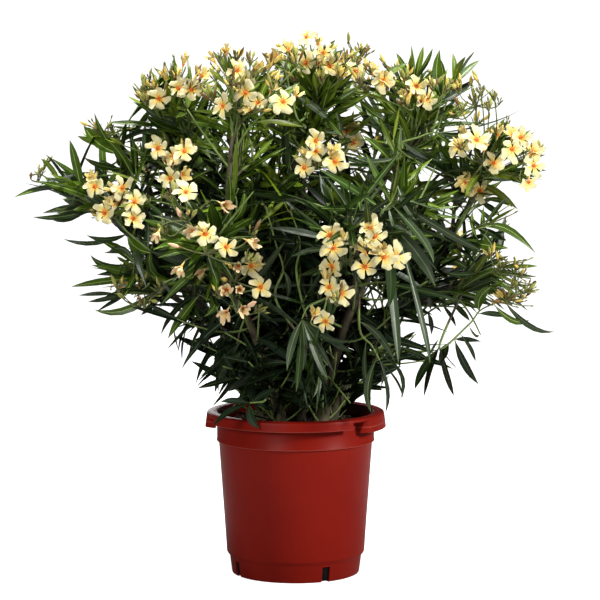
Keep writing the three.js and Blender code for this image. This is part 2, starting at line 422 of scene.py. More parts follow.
@dataclass(frozen=True)
class BarkFinish(Finish):
    """Bark that runs from one colour to another in patches, with furrows along the limb."""

    light: Colour = (0.2, 0.16, 0.1)
    furrow_depth: float = 0.8 * MM

    def make(self) -> bpy.types.Material:
        """Builds the material.

        Returns:
            The material.
        """
        draft = MaterialDraft(self.name)
        colours = {"Dark": rgba(self.colour), "Light": rgba(self.light)}
        draft.set(Base_Color=draft.effect(mottle_group(), **colours, Scale=70.0, Contrast=0.16))
        draft.set(Roughness=draft.effect(sheen_group(), Smooth=0.6, Rough=0.9, Scale=120.0))
        draft.relief(draft.effect(furrow_group(), Scale=230.0, Stretch=0.16), self.furrow_depth, 0.8)
        return draft.material


@dataclass(frozen=True)
class SoilFinish(Finish):
    """Dark crumbly potting mix."""

    light: Colour = (0.07, 0.045, 0.028)

    def make(self) -> bpy.types.Material:
        """Builds the material.

        Returns:
            The material.
        """
        draft = MaterialDraft(self.name)
        colours = {"Dark": rgba(self.colour), "Light": rgba(self.light)}
        draft.set(Base_Color=draft.effect(mottle_group(), **colours, Scale=170.0, Contrast=0.14))
        draft.set(Roughness=0.95, Specular_IOR_Level=0.2)
        draft.relief(draft.effect(grain_group(), Scale=380.0, Fine_Share=0.6), 1.6 * MM, 0.9)
        return draft.material


@dataclass(frozen=True)
class PlasticFinish(Finish):
    """Satin moulded plastic with a faint mottle, and pale painted highlight lines at the heights of its
    edges, where the edges catch the light.
    """

    light: Colour = (0.17, 0.0072, 0.0032)
    # painted highlight: the pale colour of the lines where the collar's foot and the skirt's lower edge catch
    # the light
    painted_highlight: Colour = (0.3, 0.075, 0.055)
    edges: tuple[float, ...] = (0.2507, 0.2874)
    edge_width: float = 1.1 * MM

    def make(self) -> bpy.types.Material:
        """Builds the material.

        Returns:
            The material.
        """
        draft = MaterialDraft(self.name)
        colours = {"Dark": rgba(self.colour), "Light": rgba(self.light)}
        mottle = draft.effect(mottle_group(), **colours, Scale=9.0, Contrast=0.3)
        # pale painted highlight lines mixed into the mottle at the edges' heights
        sides = {"Factor": self.painted_highlight_mask(draft), "A": mottle, "B": rgba(self.painted_highlight)}
        draft.set(Base_Color=draft.node("ShaderNodeMix", sides, data_type="RGBA").outputs["Result"])
        draft.set(Specular_IOR_Level=0.06)
        draft.set(Roughness=draft.effect(sheen_group(), Smooth=0.32, Rough=0.46, Scale=14.0))
        draft.relief(draft.effect(grain_group(), Scale=900.0, Fine_Share=0.5), 0.12 * MM, 0.35)
        return draft.material

    def painted_highlight_mask(self, draft: MaterialDraft) -> Plug:
        """How strongly the painted highlight shows near the heights of its edges, from 0 to 1.

        Args:
            draft: The material.

        Returns:
            The mask.
        """
        place = draft.node("ShaderNodeTexCoord").outputs["Object"]
        level = draft.node("ShaderNodeSeparateXYZ", {0: place}).outputs["Z"]
        masks = []
        for height in self.edges:
            off = draft.node("ShaderNodeMath", {0: level, 1: height}, operation="SUBTRACT")
            size = draft.node("ShaderNodeMath", {0: off.outputs[0]}, operation="ABSOLUTE")
            limits = {"Value": size.outputs[0], "From Max": self.edge_width, "To Min": 0.6, "To Max": 0.0}
            masks.append(draft.node("ShaderNodeMapRange", limits).outputs[0])
        return draft.node("ShaderNodeMath", dict(enumerate(masks)), operation="MAXIMUM").outputs[0]


@lru_cache(maxsize=None)
def material_of(finish: Finish) -> bpy.types.Material:
    """The one material of a finish."""
    return finish.make()


class Leafage(Enum):
    """The greens that are dealt out to the sprays of leaves. The lowest, shaded and deep greens are painted
    shade: darker copies of the green for the leaves inside the crown and low down, where shade falls.
    """

    # painted shade: the darkest leaf green, for the leaves low round the stems' feet
    LOWEST = LeafFinish("leaf_lowest_shade", (0.006, 0.013, 0.005), 0.5, 0.7, 0.07)
    SHADED = LeafFinish("leaf_shaded", (0.0065, 0.0125, 0.0045), shine=0.2)
    # painted shade: a darker leaf green for leaves inside and low in the crown
    DEEP = LeafFinish("leaf_deep_shade", (0.0105, 0.023, 0.004), shine=0.2)
    DARK = LeafFinish("leaf_dark", (0.018, 0.04, 0.004))
    GREEN = LeafFinish("leaf_green", (0.042, 0.082, 0.004))
    OLIVE = LeafFinish("leaf_olive", (0.085, 0.11, 0.006))
    # partly painted sheen: the leaves' own grey-green, with a greyish tint that stands in for the sky's
    # reflection on glossy leaves
    GREY = LeafFinish("leaf_grey_sheen", (0.021, 0.036, 0.013), 0.36, 0.54, 0.34)
    FRESH = LeafFinish("leaf_fresh", (0.1, 0.16, 0.006))
    YOUNG = LeafFinish("leaf_young", (0.17, 0.23, 0.016))


class Rib(Enum):
    """The colours of a leaf's midrib. The faint and dim ribs are painted shade: darker midribs for the leaves
    that lie in shade.
    """

    # painted shade: the darkest midrib, for the leaves at the stems' feet
    FAINT = LeafFinish("rib_faint_shade", (0.02, 0.034, 0.012), shine=0.1)
    # painted shade: a darker midrib for leaves inside and low in the crown
    DIM = LeafFinish("rib_dim_shade", (0.05, 0.075, 0.024))
    PALE = LeafFinish("rib_pale", (0.14, 0.19, 0.06))
    BRIGHT = LeafFinish("rib_bright", (0.28, 0.36, 0.11))


class Petal(Enum):
    """The colours of a flower, from its throat out to the petals' ends, and of buds and faded flowers."""

    THROAT = PetalFinish("petal_throat", (0.62, 0.13, 0.011))
    ORANGE = PetalFinish("petal_orange", (0.7, 0.25, 0.022))
    GOLD = PetalFinish("petal_gold", (0.66, 0.49, 0.12))
    PALE = PetalFinish("petal_pale", (0.6, 0.48, 0.17))
    CREAM = PetalFinish("petal_cream", (0.56, 0.505, 0.275))
    BUD_GREEN = PetalFinish("bud_green", (0.26, 0.27, 0.05))
    BUD_OLIVE = PetalFinish("bud_olive", (0.11, 0.115, 0.022))
    BUD_YELLOW = PetalFinish("bud_yellow", (0.54, 0.39, 0.075))
    BUD_SALMON = PetalFinish("bud_salmon", (0.7, 0.45, 0.26))
    CALYX = PetalFinish("calyx", (0.14, 0.075, 0.016))
    STALK = PetalFinish("flower_stalk", (0.11, 0.125, 0.022))


class Wood(Enum):
    """The barks, from the old stems to the young shoots."""

    OLD = BarkFinish("bark_old", (0.024, 0.018, 0.008), (0.09, 0.07, 0.034), 1.1 * MM)
    BOUGH = BarkFinish("bark_bough", (0.03, 0.026, 0.012), (0.08, 0.07, 0.032), 0.7 * MM)
    BROWN = BarkFinish("bark_brown", (0.06, 0.045, 0.022), (0.11, 0.09, 0.04), 0.3 * MM)
    GREEN = BarkFinish("bark_green", (0.09, 0.14, 0.026), (0.15, 0.21, 0.045), 0.2 * MM)


POT_RED = PlasticFinish("pot_red", (0.14, 0.0055, 0.0025))
SOIL_DARK = SoilFinish("soil_dark", (0.011, 0.007, 0.005))
# painted shade: a near-black copy of the soil, for its sides, which show through the drain slots
SOIL_PAINTED_SHADE = SoilFinish("soil_painted_shade", (0.0016, 0.0011, 0.0008), (0.006, 0.004, 0.0026))
CHIP_BROWN = SoilFinish("chip_brown", (0.03, 0.017, 0.009), (0.1, 0.06, 0.03))


# ---------------------------------------------------------------- meshes


NO_CORNER = -1


@lru_cache(maxsize=None)
def grid_faces(rows: int, columns: int, closed: bool) -> Array:
    """Four-sided faces of a grid of points, row by row.

    Args:
        rows: How many rows of points there are.
        columns: How many points a row has.
        closed: Whether each row runs round to its first point.

    Returns:
        The faces' corners, four to a row.
    """
    across = columns if closed else columns - 1
    row, column = np.meshgrid(np.arange(rows - 1), np.arange(across), indexing="ij")
    here = row * columns + column
    beside = row * columns + (column + 1) % columns
    faces = np.stack([here, beside, beside + columns, here + columns], axis=-1)
    return faces.reshape(-1, 4)


@lru_cache(maxsize=None)
def cap_faces(first: int, sides: int, centre: int, inward: bool) -> Array:
    """Triangles from a ring of points to its centre point.

    Args:
        first: The number of the ring's first point.
        sides: How many points a ring has.
        centre: The number of the centre point.
        inward: Whether the faces are turned over.

    Returns:
        The faces.
    """
    here = first + np.arange(sides)
    beside = first + (np.arange(sides) + 1) % sides
    hub = np.full(sides, centre)
    none = np.full(sides, NO_CORNER)
    order = (hub, beside, here) if inward else (hub, here, beside)
    return np.stack([*order, none], axis=-1)


def closed_faces(rows: int, sides: int) -> Array:
    """The faces of a body of rings, closed by the two centre points that follow its last ring.

    Args:
        rows: How many rings there are.
        sides: How many points a ring has.

    Returns:
        The faces.
    """
    foot = cap_faces(0, sides, rows * sides, True)
    top = cap_faces((rows - 1) * sides, sides, rows * sides + 1, False)
    return np.concatenate([grid_faces(rows, sides, True), foot, top])


class MeshDraft:
    """The points and faces of one joined piece, gathered part by part."""

    def __init__(self, name: str) -> None:
        """Starts an empty piece.

        Args:
            name: Its name.
        """
        self.name = name
        self.points: list[Array] = []
        self.faces: list[Array] = []
        self.slots: list[Array] = []
        self.finishes: list[Finish] = []
        self.count = 0

    def slot_of(self, finish: Finish) -> int:
        """The slot of a finish on this piece.

        Args:
            finish: The finish.

        Returns:
            The slot's number.
        """
        if finish not in self.finishes:
            self.finishes.append(finish)
        return self.finishes.index(finish)

    def add(self, points: Array, faces: Array, finish: Finish | Array) -> None:
        """Adds one part.

        Args:
            points: Its points.
            faces: Its faces, as four corners or three and NO_CORNER.
            finish: One finish for all of it, or a slot for each face.
        """
        slots = finish if isinstance(finish, np.ndarray) else np.full(len(faces), self.slot_of(finish))
        self.points.append(points)
        self.faces.append(np.where(faces == NO_CORNER, NO_CORNER, faces + self.count))
        self.slots.append(slots)
        self.count += len(points)

    def build(self, slot: str, nodes: Sequence[str] = ()) -> bpy.types.Object:
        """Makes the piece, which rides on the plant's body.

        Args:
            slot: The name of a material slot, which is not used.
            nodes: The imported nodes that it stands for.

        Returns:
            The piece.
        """
        points, faces = np.concatenate(self.points), np.concatenate(self.faces)
        corners = faces[faces != NO_CORNER]
        sizes = (faces != NO_CORNER).sum(axis=1)
        mesh = bpy.data.meshes.new(self.name)
        mesh.vertices.add(len(points))
        mesh.vertices.foreach_set("co", points.astype(np.float32).ravel())
        mesh.loops.add(len(corners))
        mesh.loops.foreach_set("vertex_index", corners.astype(np.int32))
        mesh.polygons.add(len(faces))
        mesh.polygons.foreach_set("loop_start", (np.cumsum(sizes) - sizes).astype(np.int32))
        for finish in self.finishes:
            mesh.materials.append(material_of(finish))
        mesh.polygons.foreach_set("material_index", np.concatenate(self.slots).astype(np.int32))
        mesh.polygons.foreach_set("use_smooth", np.ones(len(faces), bool))
        mesh.update(calc_edges=True)
        piece = bpy.data.objects.new(self.name, mesh)
        bpy.context.scene.collection.objects.link(piece)
        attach(piece, BODY)
        if nodes:
            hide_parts(*nodes)
        LOG.info("%s: %d triangles", self.name, int((sizes - 2).sum()))
        return piece


def tube(
    draft: MeshDraft,
    path: Array,
    radii: Array,
    sides: int,
    finish: Finish | Sequence[Finish],
    relief: Callable[[Array, float, int], float] | None = None,
) -> None:
    """Adds a round limb with closed ends.

    Args:
        draft: The piece to add it to.
        path: The points of its centre line.
        radii: Its radius at each point.
        sides: How many sides it has.
        finish: Its finish, or one for each stretch between two points.
        relief: Gives a share to add to the radius from a surface point, an angle and the ring's number.
    """
    tangents = unit(np.gradient(path, axis=0))
    side = any_side(tangents[0])
    angles = np.arange(sides) * 2 * math.pi / sides
    rings = []
    for number, (centre, tangent, radius) in enumerate(zip(path, tangents, radii)):
        side = square_to(side, tangent)
        other = np.cross(tangent, side)
        outward = np.cos(angles)[:, None] * side + np.sin(angles)[:, None] * other
        if relief is None:
            rings.append(centre + radius * outward)
            continue
        swell = [1 + relief(centre + radius * o, a, number) for o, a in zip(outward, angles)]
        rings.append(centre + radius * np.array(swell)[:, None] * outward)
    points, faces = np.concatenate([*rings, path[:1], path[-1:]]), closed_faces(len(path), sides)
    if isinstance(finish, Finish):
        draft.add(points, faces, finish)
        return
    stretch = [draft.slot_of(f) for f in finish]
    draft.add(points, faces, np.repeat([*stretch, stretch[0], stretch[-1]], sides))


# ---------------------------------------------------------------- pot and potting mix


@dataclass(frozen=True)
class Pot:
    """The round nursery container, turned from one profile, with two grips and four drain slots."""

    height: float = 0.305
    wall: float = 2.8 * MM
    foot_radius: float = 0.1195
    foot_round: float = 3 * MM
    band_radius: float = 0.124
    band_top: float = 0.034
    step_height: float = 6 * MM
    wall_foot_radius: float = 0.1285
    wall_top_radius: float = 0.1435
    collar_foot: float = 0.2505
    collar_radius: float = 0.147
    floor: float = 4 * MM
    rim_radius: float = 0.166
    rim_edge: float = 3.6 * MM
    skirt_depth: float = 0.0175
    skirt_flare: float = 3 * MM
    grip_depth: float = 0.028
    grip_span: float = 43.0
    grip_turn: float = -13.0
    grip_end: float = 6.0
    notch_span: float = 10.0
    notch_depth: float = 5 * MM
    slot_turn: float = -62.4
    slot_width: float = 0.0155
    slot_height: float = 0.029
    slot_reach: float = 0.034
    slots: int = 4
    sides: int = 216
    crisp_from: float = 38.0

    def outer_wall(self) -> list[tuple[float, float]]:
        """The wall's outside from the foot up to the rim, as radius and height.

        Returns:
            The points.
        """
        bead = 0.7 * MM
        return [
            (self.foot_radius - self.foot_round, 0.0),
            (self.foot_radius - 0.3 * self.foot_round, 0.3 * self.foot_round),
            (self.foot_radius, self.foot_round),
            (self.band_radius - bead, self.band_top - 1.5 * MM),
            (self.band_radius, self.band_top),
            (self.wall_foot_radius, self.band_top + self.step_height),
            (self.wall_foot_radius + 0.4 * MM, self.band_top + self.step_height + 1.5 * MM),
            (self.wall_top_radius, self.collar_foot - 2.0 * MM),
            (self.collar_radius + bead, self.collar_foot),
            (self.collar_radius + bead, self.collar_foot + 1.2 * MM),
            (self.collar_radius, self.collar_foot + 2.4 * MM),
            (self.collar_radius, self.height - self.wall),
        ]

    def skirt_shape(self, turn: float) -> tuple[float, float]:
        """How deep the rim's skirt hangs at an angle, and how far out it stands.

        Args:
            turn: Degrees from +X.

        Returns:
            The skirt's depth in metres, and 0 to 1 from the wall out to the rim's edge.
        """
        offset = (turn - self.grip_turn + 90.0) % 180.0 - 90.0
        away = abs(offset) - self.grip_span / 2
        if away <= 0:
            return self.grip_depth, 1.0
        if away <= self.grip_end:
            return self.grip_depth, 1.0 - away / self.grip_end
        if away <= self.grip_end + self.notch_span:
            return self.notch_depth, 1.0
        return self.skirt_depth, 1.0

    def profile(self, turn: float) -> list[tuple[float, float]]:
        """The whole section at an angle, as radius and height, from the middle of the underside.

        Args:
            turn: Degrees from +X.

        Returns:
            The points.
        """
        depth, out = self.skirt_shape(turn)
        flare = self.skirt_flare * depth / self.grip_depth
        inner_gap = self.collar_radius + 2.5 * MM
        radius = blend(inner_gap + self.wall, self.rim_radius, out)
        top, edge = self.height, self.rim_edge
        under = top - self.wall
        foot = top - depth
        rim = [
            (radius - self.wall, under),
            (radius - self.wall + flare, foot),
            (radius - 0.5 * self.wall + flare, foot - 0.6 * MM),
            (radius + flare, foot),
            (radius + 0.1 * MM, top - 1.6 * edge),
            (self.rim_radius, top - 1.4 * edge),
            (self.rim_radius - 0.3 * edge, top - 0.4 * edge),
            (self.rim_radius - edge, top),
            (self.collar_radius + 2.0 * MM, top + 0.2 * MM),
            (self.collar_radius - 0.4 * self.wall, top - 0.6 * MM),
            (self.collar_radius - self.wall, top - self.wall),
        ]
        inside = [(r - self.wall, max(z, self.floor)) for r, z in reversed(self.outer_wall()[2:-1])]
        return [(0.0, 0.0), *self.outer_wall(), *rim, *inside, (0.0, self.floor)]

    def turns(self) -> list[float]:
        """The angles of the sections, in degrees, with pairs close together where the skirt steps.

        Returns:
            The angles, in order.
        """
        steps = [self.grip_span / 2, self.grip_span / 2 + self.grip_end]
        steps.append(steps[-1] + self.notch_span)
        hair = 0.08
        extra = [
            self.grip_turn + half + sign * step + nudge
            for half in (0.0, 180.0)
            for sign in (1, -1)
            for step in steps
            for nudge in (-hair, hair)
        ]
        even = [360.0 * i / self.sides for i in range(self.sides)]
        spaced = [e for e in even if all(abs((e - x + 180) % 360 - 180) > 0.5 for x in extra)]
        return sorted(t % 360.0 for t in spaced + extra)

    def build(self) -> bpy.types.Object:
        """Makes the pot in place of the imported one.

        Returns:
            The pot.
        """
        draft = MeshDraft("pot_shell")
        turns = self.turns()
        sections = [self.profile(t) for t in turns]
        rows = len(sections[0]) - 2
        points = [
            (r * math.cos(math.radians(t)), r * math.sin(math.radians(t)), z)
            for row in range(1, rows + 1)
            for t, (r, z) in ((t, s[row]) for t, s in zip(turns, sections))
        ]
        points += [(0.0, 0.0, 0.0), (0.0, 0.0, self.floor)]
        draft.add(np.array(points), closed_faces(rows, len(turns)), POT_RED)
        piece = draft.build("pot", ["pot"])
        self.cut_drains(piece)
        piece.data.shade_smooth()
        piece.data.set_sharp_from_angle(angle=math.radians(self.crisp_from))
        return piece

    def cut_drains(self, piece: bpy.types.Object) -> None:
        """Cuts the drain slots through the wall and the edge of the floor.

        Args:
            piece: The pot.
        """
        cutters = MeshDraft("drain_cutters")
        corners = np.array([(x, y, z) for x in (-0.5, 0.5) for y in (-0.5, 0.5) for z in (-1.0, 1.0)])
        sides = np.array(
            [(0, 1, 3, 2), (4, 6, 7, 5), (0, 4, 5, 1), (2, 3, 7, 6), (0, 2, 6, 4), (1, 5, 7, 3)]
        )
        for index in range(self.slots):
            turn = math.radians(self.slot_turn + index * 360.0 / self.slots)
            box = corners * (self.slot_reach, self.slot_width, self.slot_height) + (self.band_radius, 0, 0)
            across, along = math.cos(turn), math.sin(turn)
            spin = np.array([[across, along, 0], [-along, across, 0], [0, 0, 1]])
            cutters.add(box @ spin, sides, POT_RED)
        tool = cutters.build("pot")
        carve = piece.modifiers.new("drains", "BOOLEAN")
        carve.object = tool
        carve.operation = "DIFFERENCE"
        carve.solver = "EXACT"
        shaped = bpy.data.meshes.new_from_object(piece.evaluated_get(bpy.context.evaluated_depsgraph_get()))
        piece.modifiers.clear()
        piece.data = shaped
        bpy.data.objects.remove(tool)


@dataclass(frozen=True)
class PottingMix:
    """The soil in the pot: an uneven crumbly top, with crumbs and bark chips lying on it."""

    top: float = 0.283
    floor: float = 4.3 * MM
    radius: float = 0.1439
    foot_radius: float = 0.1164
    wall: tuple[tuple[float, float], ...] = ((0.1195, 0.036), (0.1252, 0.046), (0.1402, 0.2485))
    rings: int = 34
    sides: int = 96
    crumbs: int = 900
    seed: int = 11

    def height(self, x: float, y: float) -> float:
        """How high the soil lies at a place: mounded a little round the stems.

        Args:
            x: Its place across.
            y: Its place in depth.

        Returns:
            The height.
        """
        place = np.array([x, y, 0.0])
        reach = math.hypot(x, y) / self.radius
        mound = 5 * MM * (1 - reach**2)
        rough = 2.6 * MM * lump(place, 0.03) + 1.3 * MM * lump(place, 0.009, 7.0)
        return self.top - 3 * MM + mound + rough

    def build(self) -> bpy.types.Object:
        """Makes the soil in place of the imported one.

        Returns:
            The soil.
        """
        draft = MeshDraft("potting_mix")
        angles = np.arange(self.sides) * 2 * math.pi / self.sides
        shares = np.linspace(1.0, 0.03, self.rings)
        rows = [(self.foot_radius, self.floor), *self.wall, (self.radius, 0.2545)]
        points = [(r * math.cos(a), r * math.sin(a), z) for r, z in rows for a in angles]
        for share in shares:
            for a in angles:
                x, y = share * self.radius * math.cos(a), share * self.radius * math.sin(a)
                points.append((x, y, self.height(x, y)))
        count = len(rows) + self.rings
        points += [(0.0, 0.0, self.floor), (0.0, 0.0, self.height(0.0, 0.0))]
        faces = closed_faces(count, self.sides)
        slots = np.full(len(faces), draft.slot_of(SOIL_DARK))
        # the soil's sides against the pot take the near-black painted shade, which shows through the drain
        # slots
        slots[: len(rows) * self.sides] = draft.slot_of(SOIL_PAINTED_SHADE)
        draft.add(np.array(points), faces, slots)
        self.scatter_crumbs(draft)
        return draft.build("soil", ["soil"])

    def scatter_crumbs(self, draft: MeshDraft) -> None:
        """Lays crumbs and chips of bark on the soil.

        Args:
            draft: The piece to add them to.
        """
        chance = np.random.default_rng(self.seed)
        shape = np.array([(1, 0, 0), (-1, 0, 0), (0, 1, 0), (0, -1, 0), (0, 0, 1), (0, 0, -1)], float)
        faces = np.array(
            [(0, 2, 4), (2, 1, 4), (1, 3, 4), (3, 0, 4), (2, 0, 5), (1, 2, 5), (3, 1, 5), (0, 3, 5)]
        )
        faces = np.column_stack([faces, np.full(len(faces), NO_CORNER)])
        for _ in range(self.crumbs):
            turn, reach = chance.uniform(0, 2 * math.pi), math.sqrt(chance.uniform(0.0, 0.93))
            x, y = reach * self.radius * math.cos(turn), reach * self.radius * math.sin(turn)
            size = chance.uniform(1.2, 4.2) * MM
            stretch = chance.uniform(0.5, 1.7, 3)
            spin = np.linalg.qr(chance.normal(size=(3, 3)))[0]
            spin *= np.sign(np.linalg.det(spin))
            points = (shape * stretch * size) @ spin + (x, y, self.height(x, y) + 0.3 * size)
            chip = chance.random() < 0.22
            draft.add(points, faces, CHIP_BROWN if chip else SOIL_DARK)


# ---------------------------------------------------------------- stems and boughs


@dataclass(frozen=True)
class Stem:
    """A woody stem: it leaves the soil steeply and leans out to its fork."""

    name: str
    foot: tuple[float, float]
    fork: tuple[float, float, float]
    radii: tuple[float, float]
    slimmed: float = 0.86
    ground: float = 0.283
    sunk: float = 0.012
    bend_at: float = 0.35
    bend_rise: float = 0.3
    flare: float = 5 * MM
    flare_height: float = 0.03
    rings: int = 84
    sides: int = 22

    def axis(self) -> Axis:
        """Its centre line.

        Returns:
            The line.
        """
        start = np.array([*self.foot, self.ground - self.sunk])
        end = np.array(self.fork)
        bend = start + (end - start) * self.bend_at
        bend[2] += self.bend_rise * (end[2] - start[2])
        return Axis(start, bend, end)

    def grow(self, draft: MeshDraft) -> None:
        """Adds the stem with its bark's ridges, swellings and old leaf scars.

        Args:
            draft: The piece to add it to.
        """
        shares = np.linspace(0.0, 1.0, self.rings)
        path = self.axis().points(shares)
        height = self.fork[2] - self.ground
        flare = self.flare * np.exp(-shares * height / self.flare_height)
        radii = (blend(*self.radii, shares) * MM + flare) * self.slimmed
        seed = float(sum(map(ord, self.name)) % 37)

        def ridges(point: Array, angle: float, ring: int) -> float:
            """The bark's relief as a share of the radius.

            Args:
                point: The point.
                angle: The angle round the limb.
                ring: The ring's number.

            Returns:
                The share.
            """
            stretched = point * (1.0, 1.0, 0.22)
            plates = 0.09 * lump(stretched, 5.5 * MM, seed)
            swell = 0.06 * lump(point, 0.045, seed + 3)
            scar = 0.06 * max(0.0, math.cos(ring * 0.9 + seed) - 0.6) * (1 + math.cos(3 * angle + ring))
            return plates + swell + scar

        tube(draft, path, radii, self.sides, Wood.OLD.value, ridges)


class Habit(Enum):
    """How the shoots of a mass grow."""

    CROWN = "crown"
    SIDE = "side"
    HEART = "heart"
    SKIRT = "skirt"
    BACK = "back"
    INNER = "inner"
    FOOT = "foot"
    AIRY = "airy"


@dataclass(frozen=True)
class Growth:
    """The sizes behind a habit.

    `outward` and `rise` set the shoots' main direction, `droop` how much a leaf's end sinks, `hang`
    how far it sets out downwards, and `stray` the share of leaves that reach past their mass.
    """

    outward: float
    rise: float
    droop: float
    hang: float
    stray: float
    length: float
    width: float
    greens: tuple[Leafage, ...]
    tips: tuple[Leafage, ...]
    ribs: tuple[Rib, ...]


L, R = Leafage, Rib
GROWTHS = {
    Habit.CROWN: Growth(
        outward=0.3, rise=1.0, droop=2.0, hang=0.0, stray=0.2, length=0.104, width=0.0118,
        greens=(L.GREEN, L.FRESH, L.OLIVE, L.GREEN, L.FRESH, L.DARK), tips=(L.FRESH, L.YOUNG),
        ribs=(R.PALE, R.BRIGHT),
    ),
    Habit.SIDE: Growth(
        outward=1.0, rise=0.3, droop=3.0, hang=0.1, stray=0.22, length=0.136, width=0.0162,
        greens=(L.DARK, L.GREEN, L.GREEN, L.DEEP, L.GREY), tips=(L.GREEN, L.FRESH), ribs=(R.PALE, R.BRIGHT),
    ),
    Habit.HEART: Growth(
        outward=0.8, rise=0.6, droop=4.0, hang=0.25, stray=0.2, length=0.138, width=0.0128,
        greens=(L.DEEP, L.DARK, L.GREY, L.SHADED, L.DARK), tips=(L.DARK, L.DARK), ribs=(R.DIM, R.PALE),
    ),
    Habit.SKIRT: Growth(
        outward=1.0, rise=0.1, droop=7.5, hang=1.35, stray=0.22, length=0.146, width=0.0145,
        greens=(L.SHADED, L.SHADED, L.GREY, L.DEEP), tips=(L.DEEP, L.DEEP), ribs=(R.PALE, R.DIM),
    ),
    Habit.BACK: Growth(
        outward=0.8, rise=0.5, droop=3.4, hang=0.15, stray=0.22, length=0.132, width=0.0145,
        greens=(L.DARK, L.DEEP, L.GREEN, L.GREY), tips=(L.GREEN, L.FRESH), ribs=(R.PALE,),
    ),
    # lighter greens for the right of the crown: partly painted light, where the key lamp falls on it
    Habit.AIRY: Growth(
        outward=1.0, rise=0.45, droop=3.2, hang=0.15, stray=0.2, length=0.128, width=0.0128,
        greens=(L.GREEN, L.DARK, L.OLIVE, L.GREY, L.GREEN), tips=(L.GREEN, L.FRESH), ribs=(R.PALE, R.BRIGHT),
    ),
    Habit.INNER: Growth(
        outward=0.5, rise=0.8, droop=4.0, hang=0.2, stray=1.0, length=0.135, width=0.0132,
        greens=(L.SHADED, L.SHADED, L.DEEP, L.DEEP, L.GREY), tips=(L.DEEP, L.DEEP), ribs=(R.DIM, R.DIM),
    ),
    Habit.FOOT: Growth(
        outward=0.5, rise=0.8, droop=5.0, hang=0.35, stray=1.0, length=0.135, width=0.0145,
        greens=(L.LOWEST, L.SHADED, L.LOWEST), tips=(L.LOWEST, L.SHADED), ribs=(R.FAINT, R.DIM),
    ),
}


@dataclass(frozen=True)
class Bough:
    """A bough that leaves a stem and carries one mass of foliage."""

    name: str
    stem: str
    leaves_at: float
    centre: tuple[float, float, float]
    habit: Habit
    region: str
    shoots: int = 8
    foot_radius: float = 6.5 * MM
    tip_radius: float = 3.8 * MM
    spring: float = 0.42
    turn: float = 0.5
    ring_gap: float = 5 * MM
    whorl_every: int = 5
    sides: int = 12

    def axis(self) -> Axis:
        """Its centre line.

        Returns:
            The line.
        """
        stem = STEMS[self.stem].axis()
        start, end = stem.point(self.leaves_at), np.array(self.centre)
        toward = unit(end - start)
        spring = stem.tangent(self.leaves_at) * (1 - self.turn) + toward * self.turn
        return Axis(start, start + spring * self.spring * length_of(end - start), end)

    def grow(self, draft: MeshDraft) -> None:
        """Adds the bough with smooth young bark and the rings of old leaf whorls.

        Args:
            draft: The piece to add it to.
        """
        axis = self.axis()
        rings = max(12, int(length_of(axis.end - axis.start) / self.ring_gap))
        shares = np.linspace(0.0, 1.0, rings)
        radii = blend(self.foot_radius, self.tip_radius, shares)

        def knuckles(point: Array, _angle: float, ring: int) -> float:
            """The bark's relief as a share of the radius."""
            knuckle = 0.14 if ring % self.whorl_every == 0 else 0.0
            return knuckle + 0.07 * lump(point, 0.012)

        tube(draft, axis.points(shares), radii, self.sides, Wood.BOUGH.value, knuckles)


STEMS = {
    stem.name: stem
    for stem in (
        Stem("front_right", (0.045, -0.040), (0.122, -0.075, 0.545), (13, 9)),
        Stem("front_left", (-0.025, -0.045), (-0.105, -0.115, 0.520), (12, 8)),
        Stem("middle", (0.006, 0.004), (0.005, -0.030, 0.640), (13, 9)),
        Stem("left", (-0.052, 0.004), (-0.172, -0.010, 0.500), (12, 8)),
        Stem("right", (0.060, 0.006), (0.200, 0.010, 0.500), (12, 8)),
        Stem("back_left", (-0.028, 0.046), (-0.092, 0.125, 0.560), (11, 8)),
        Stem("back_right", (0.030, 0.050), (0.102, 0.125, 0.560), (11, 8)),
    )
}

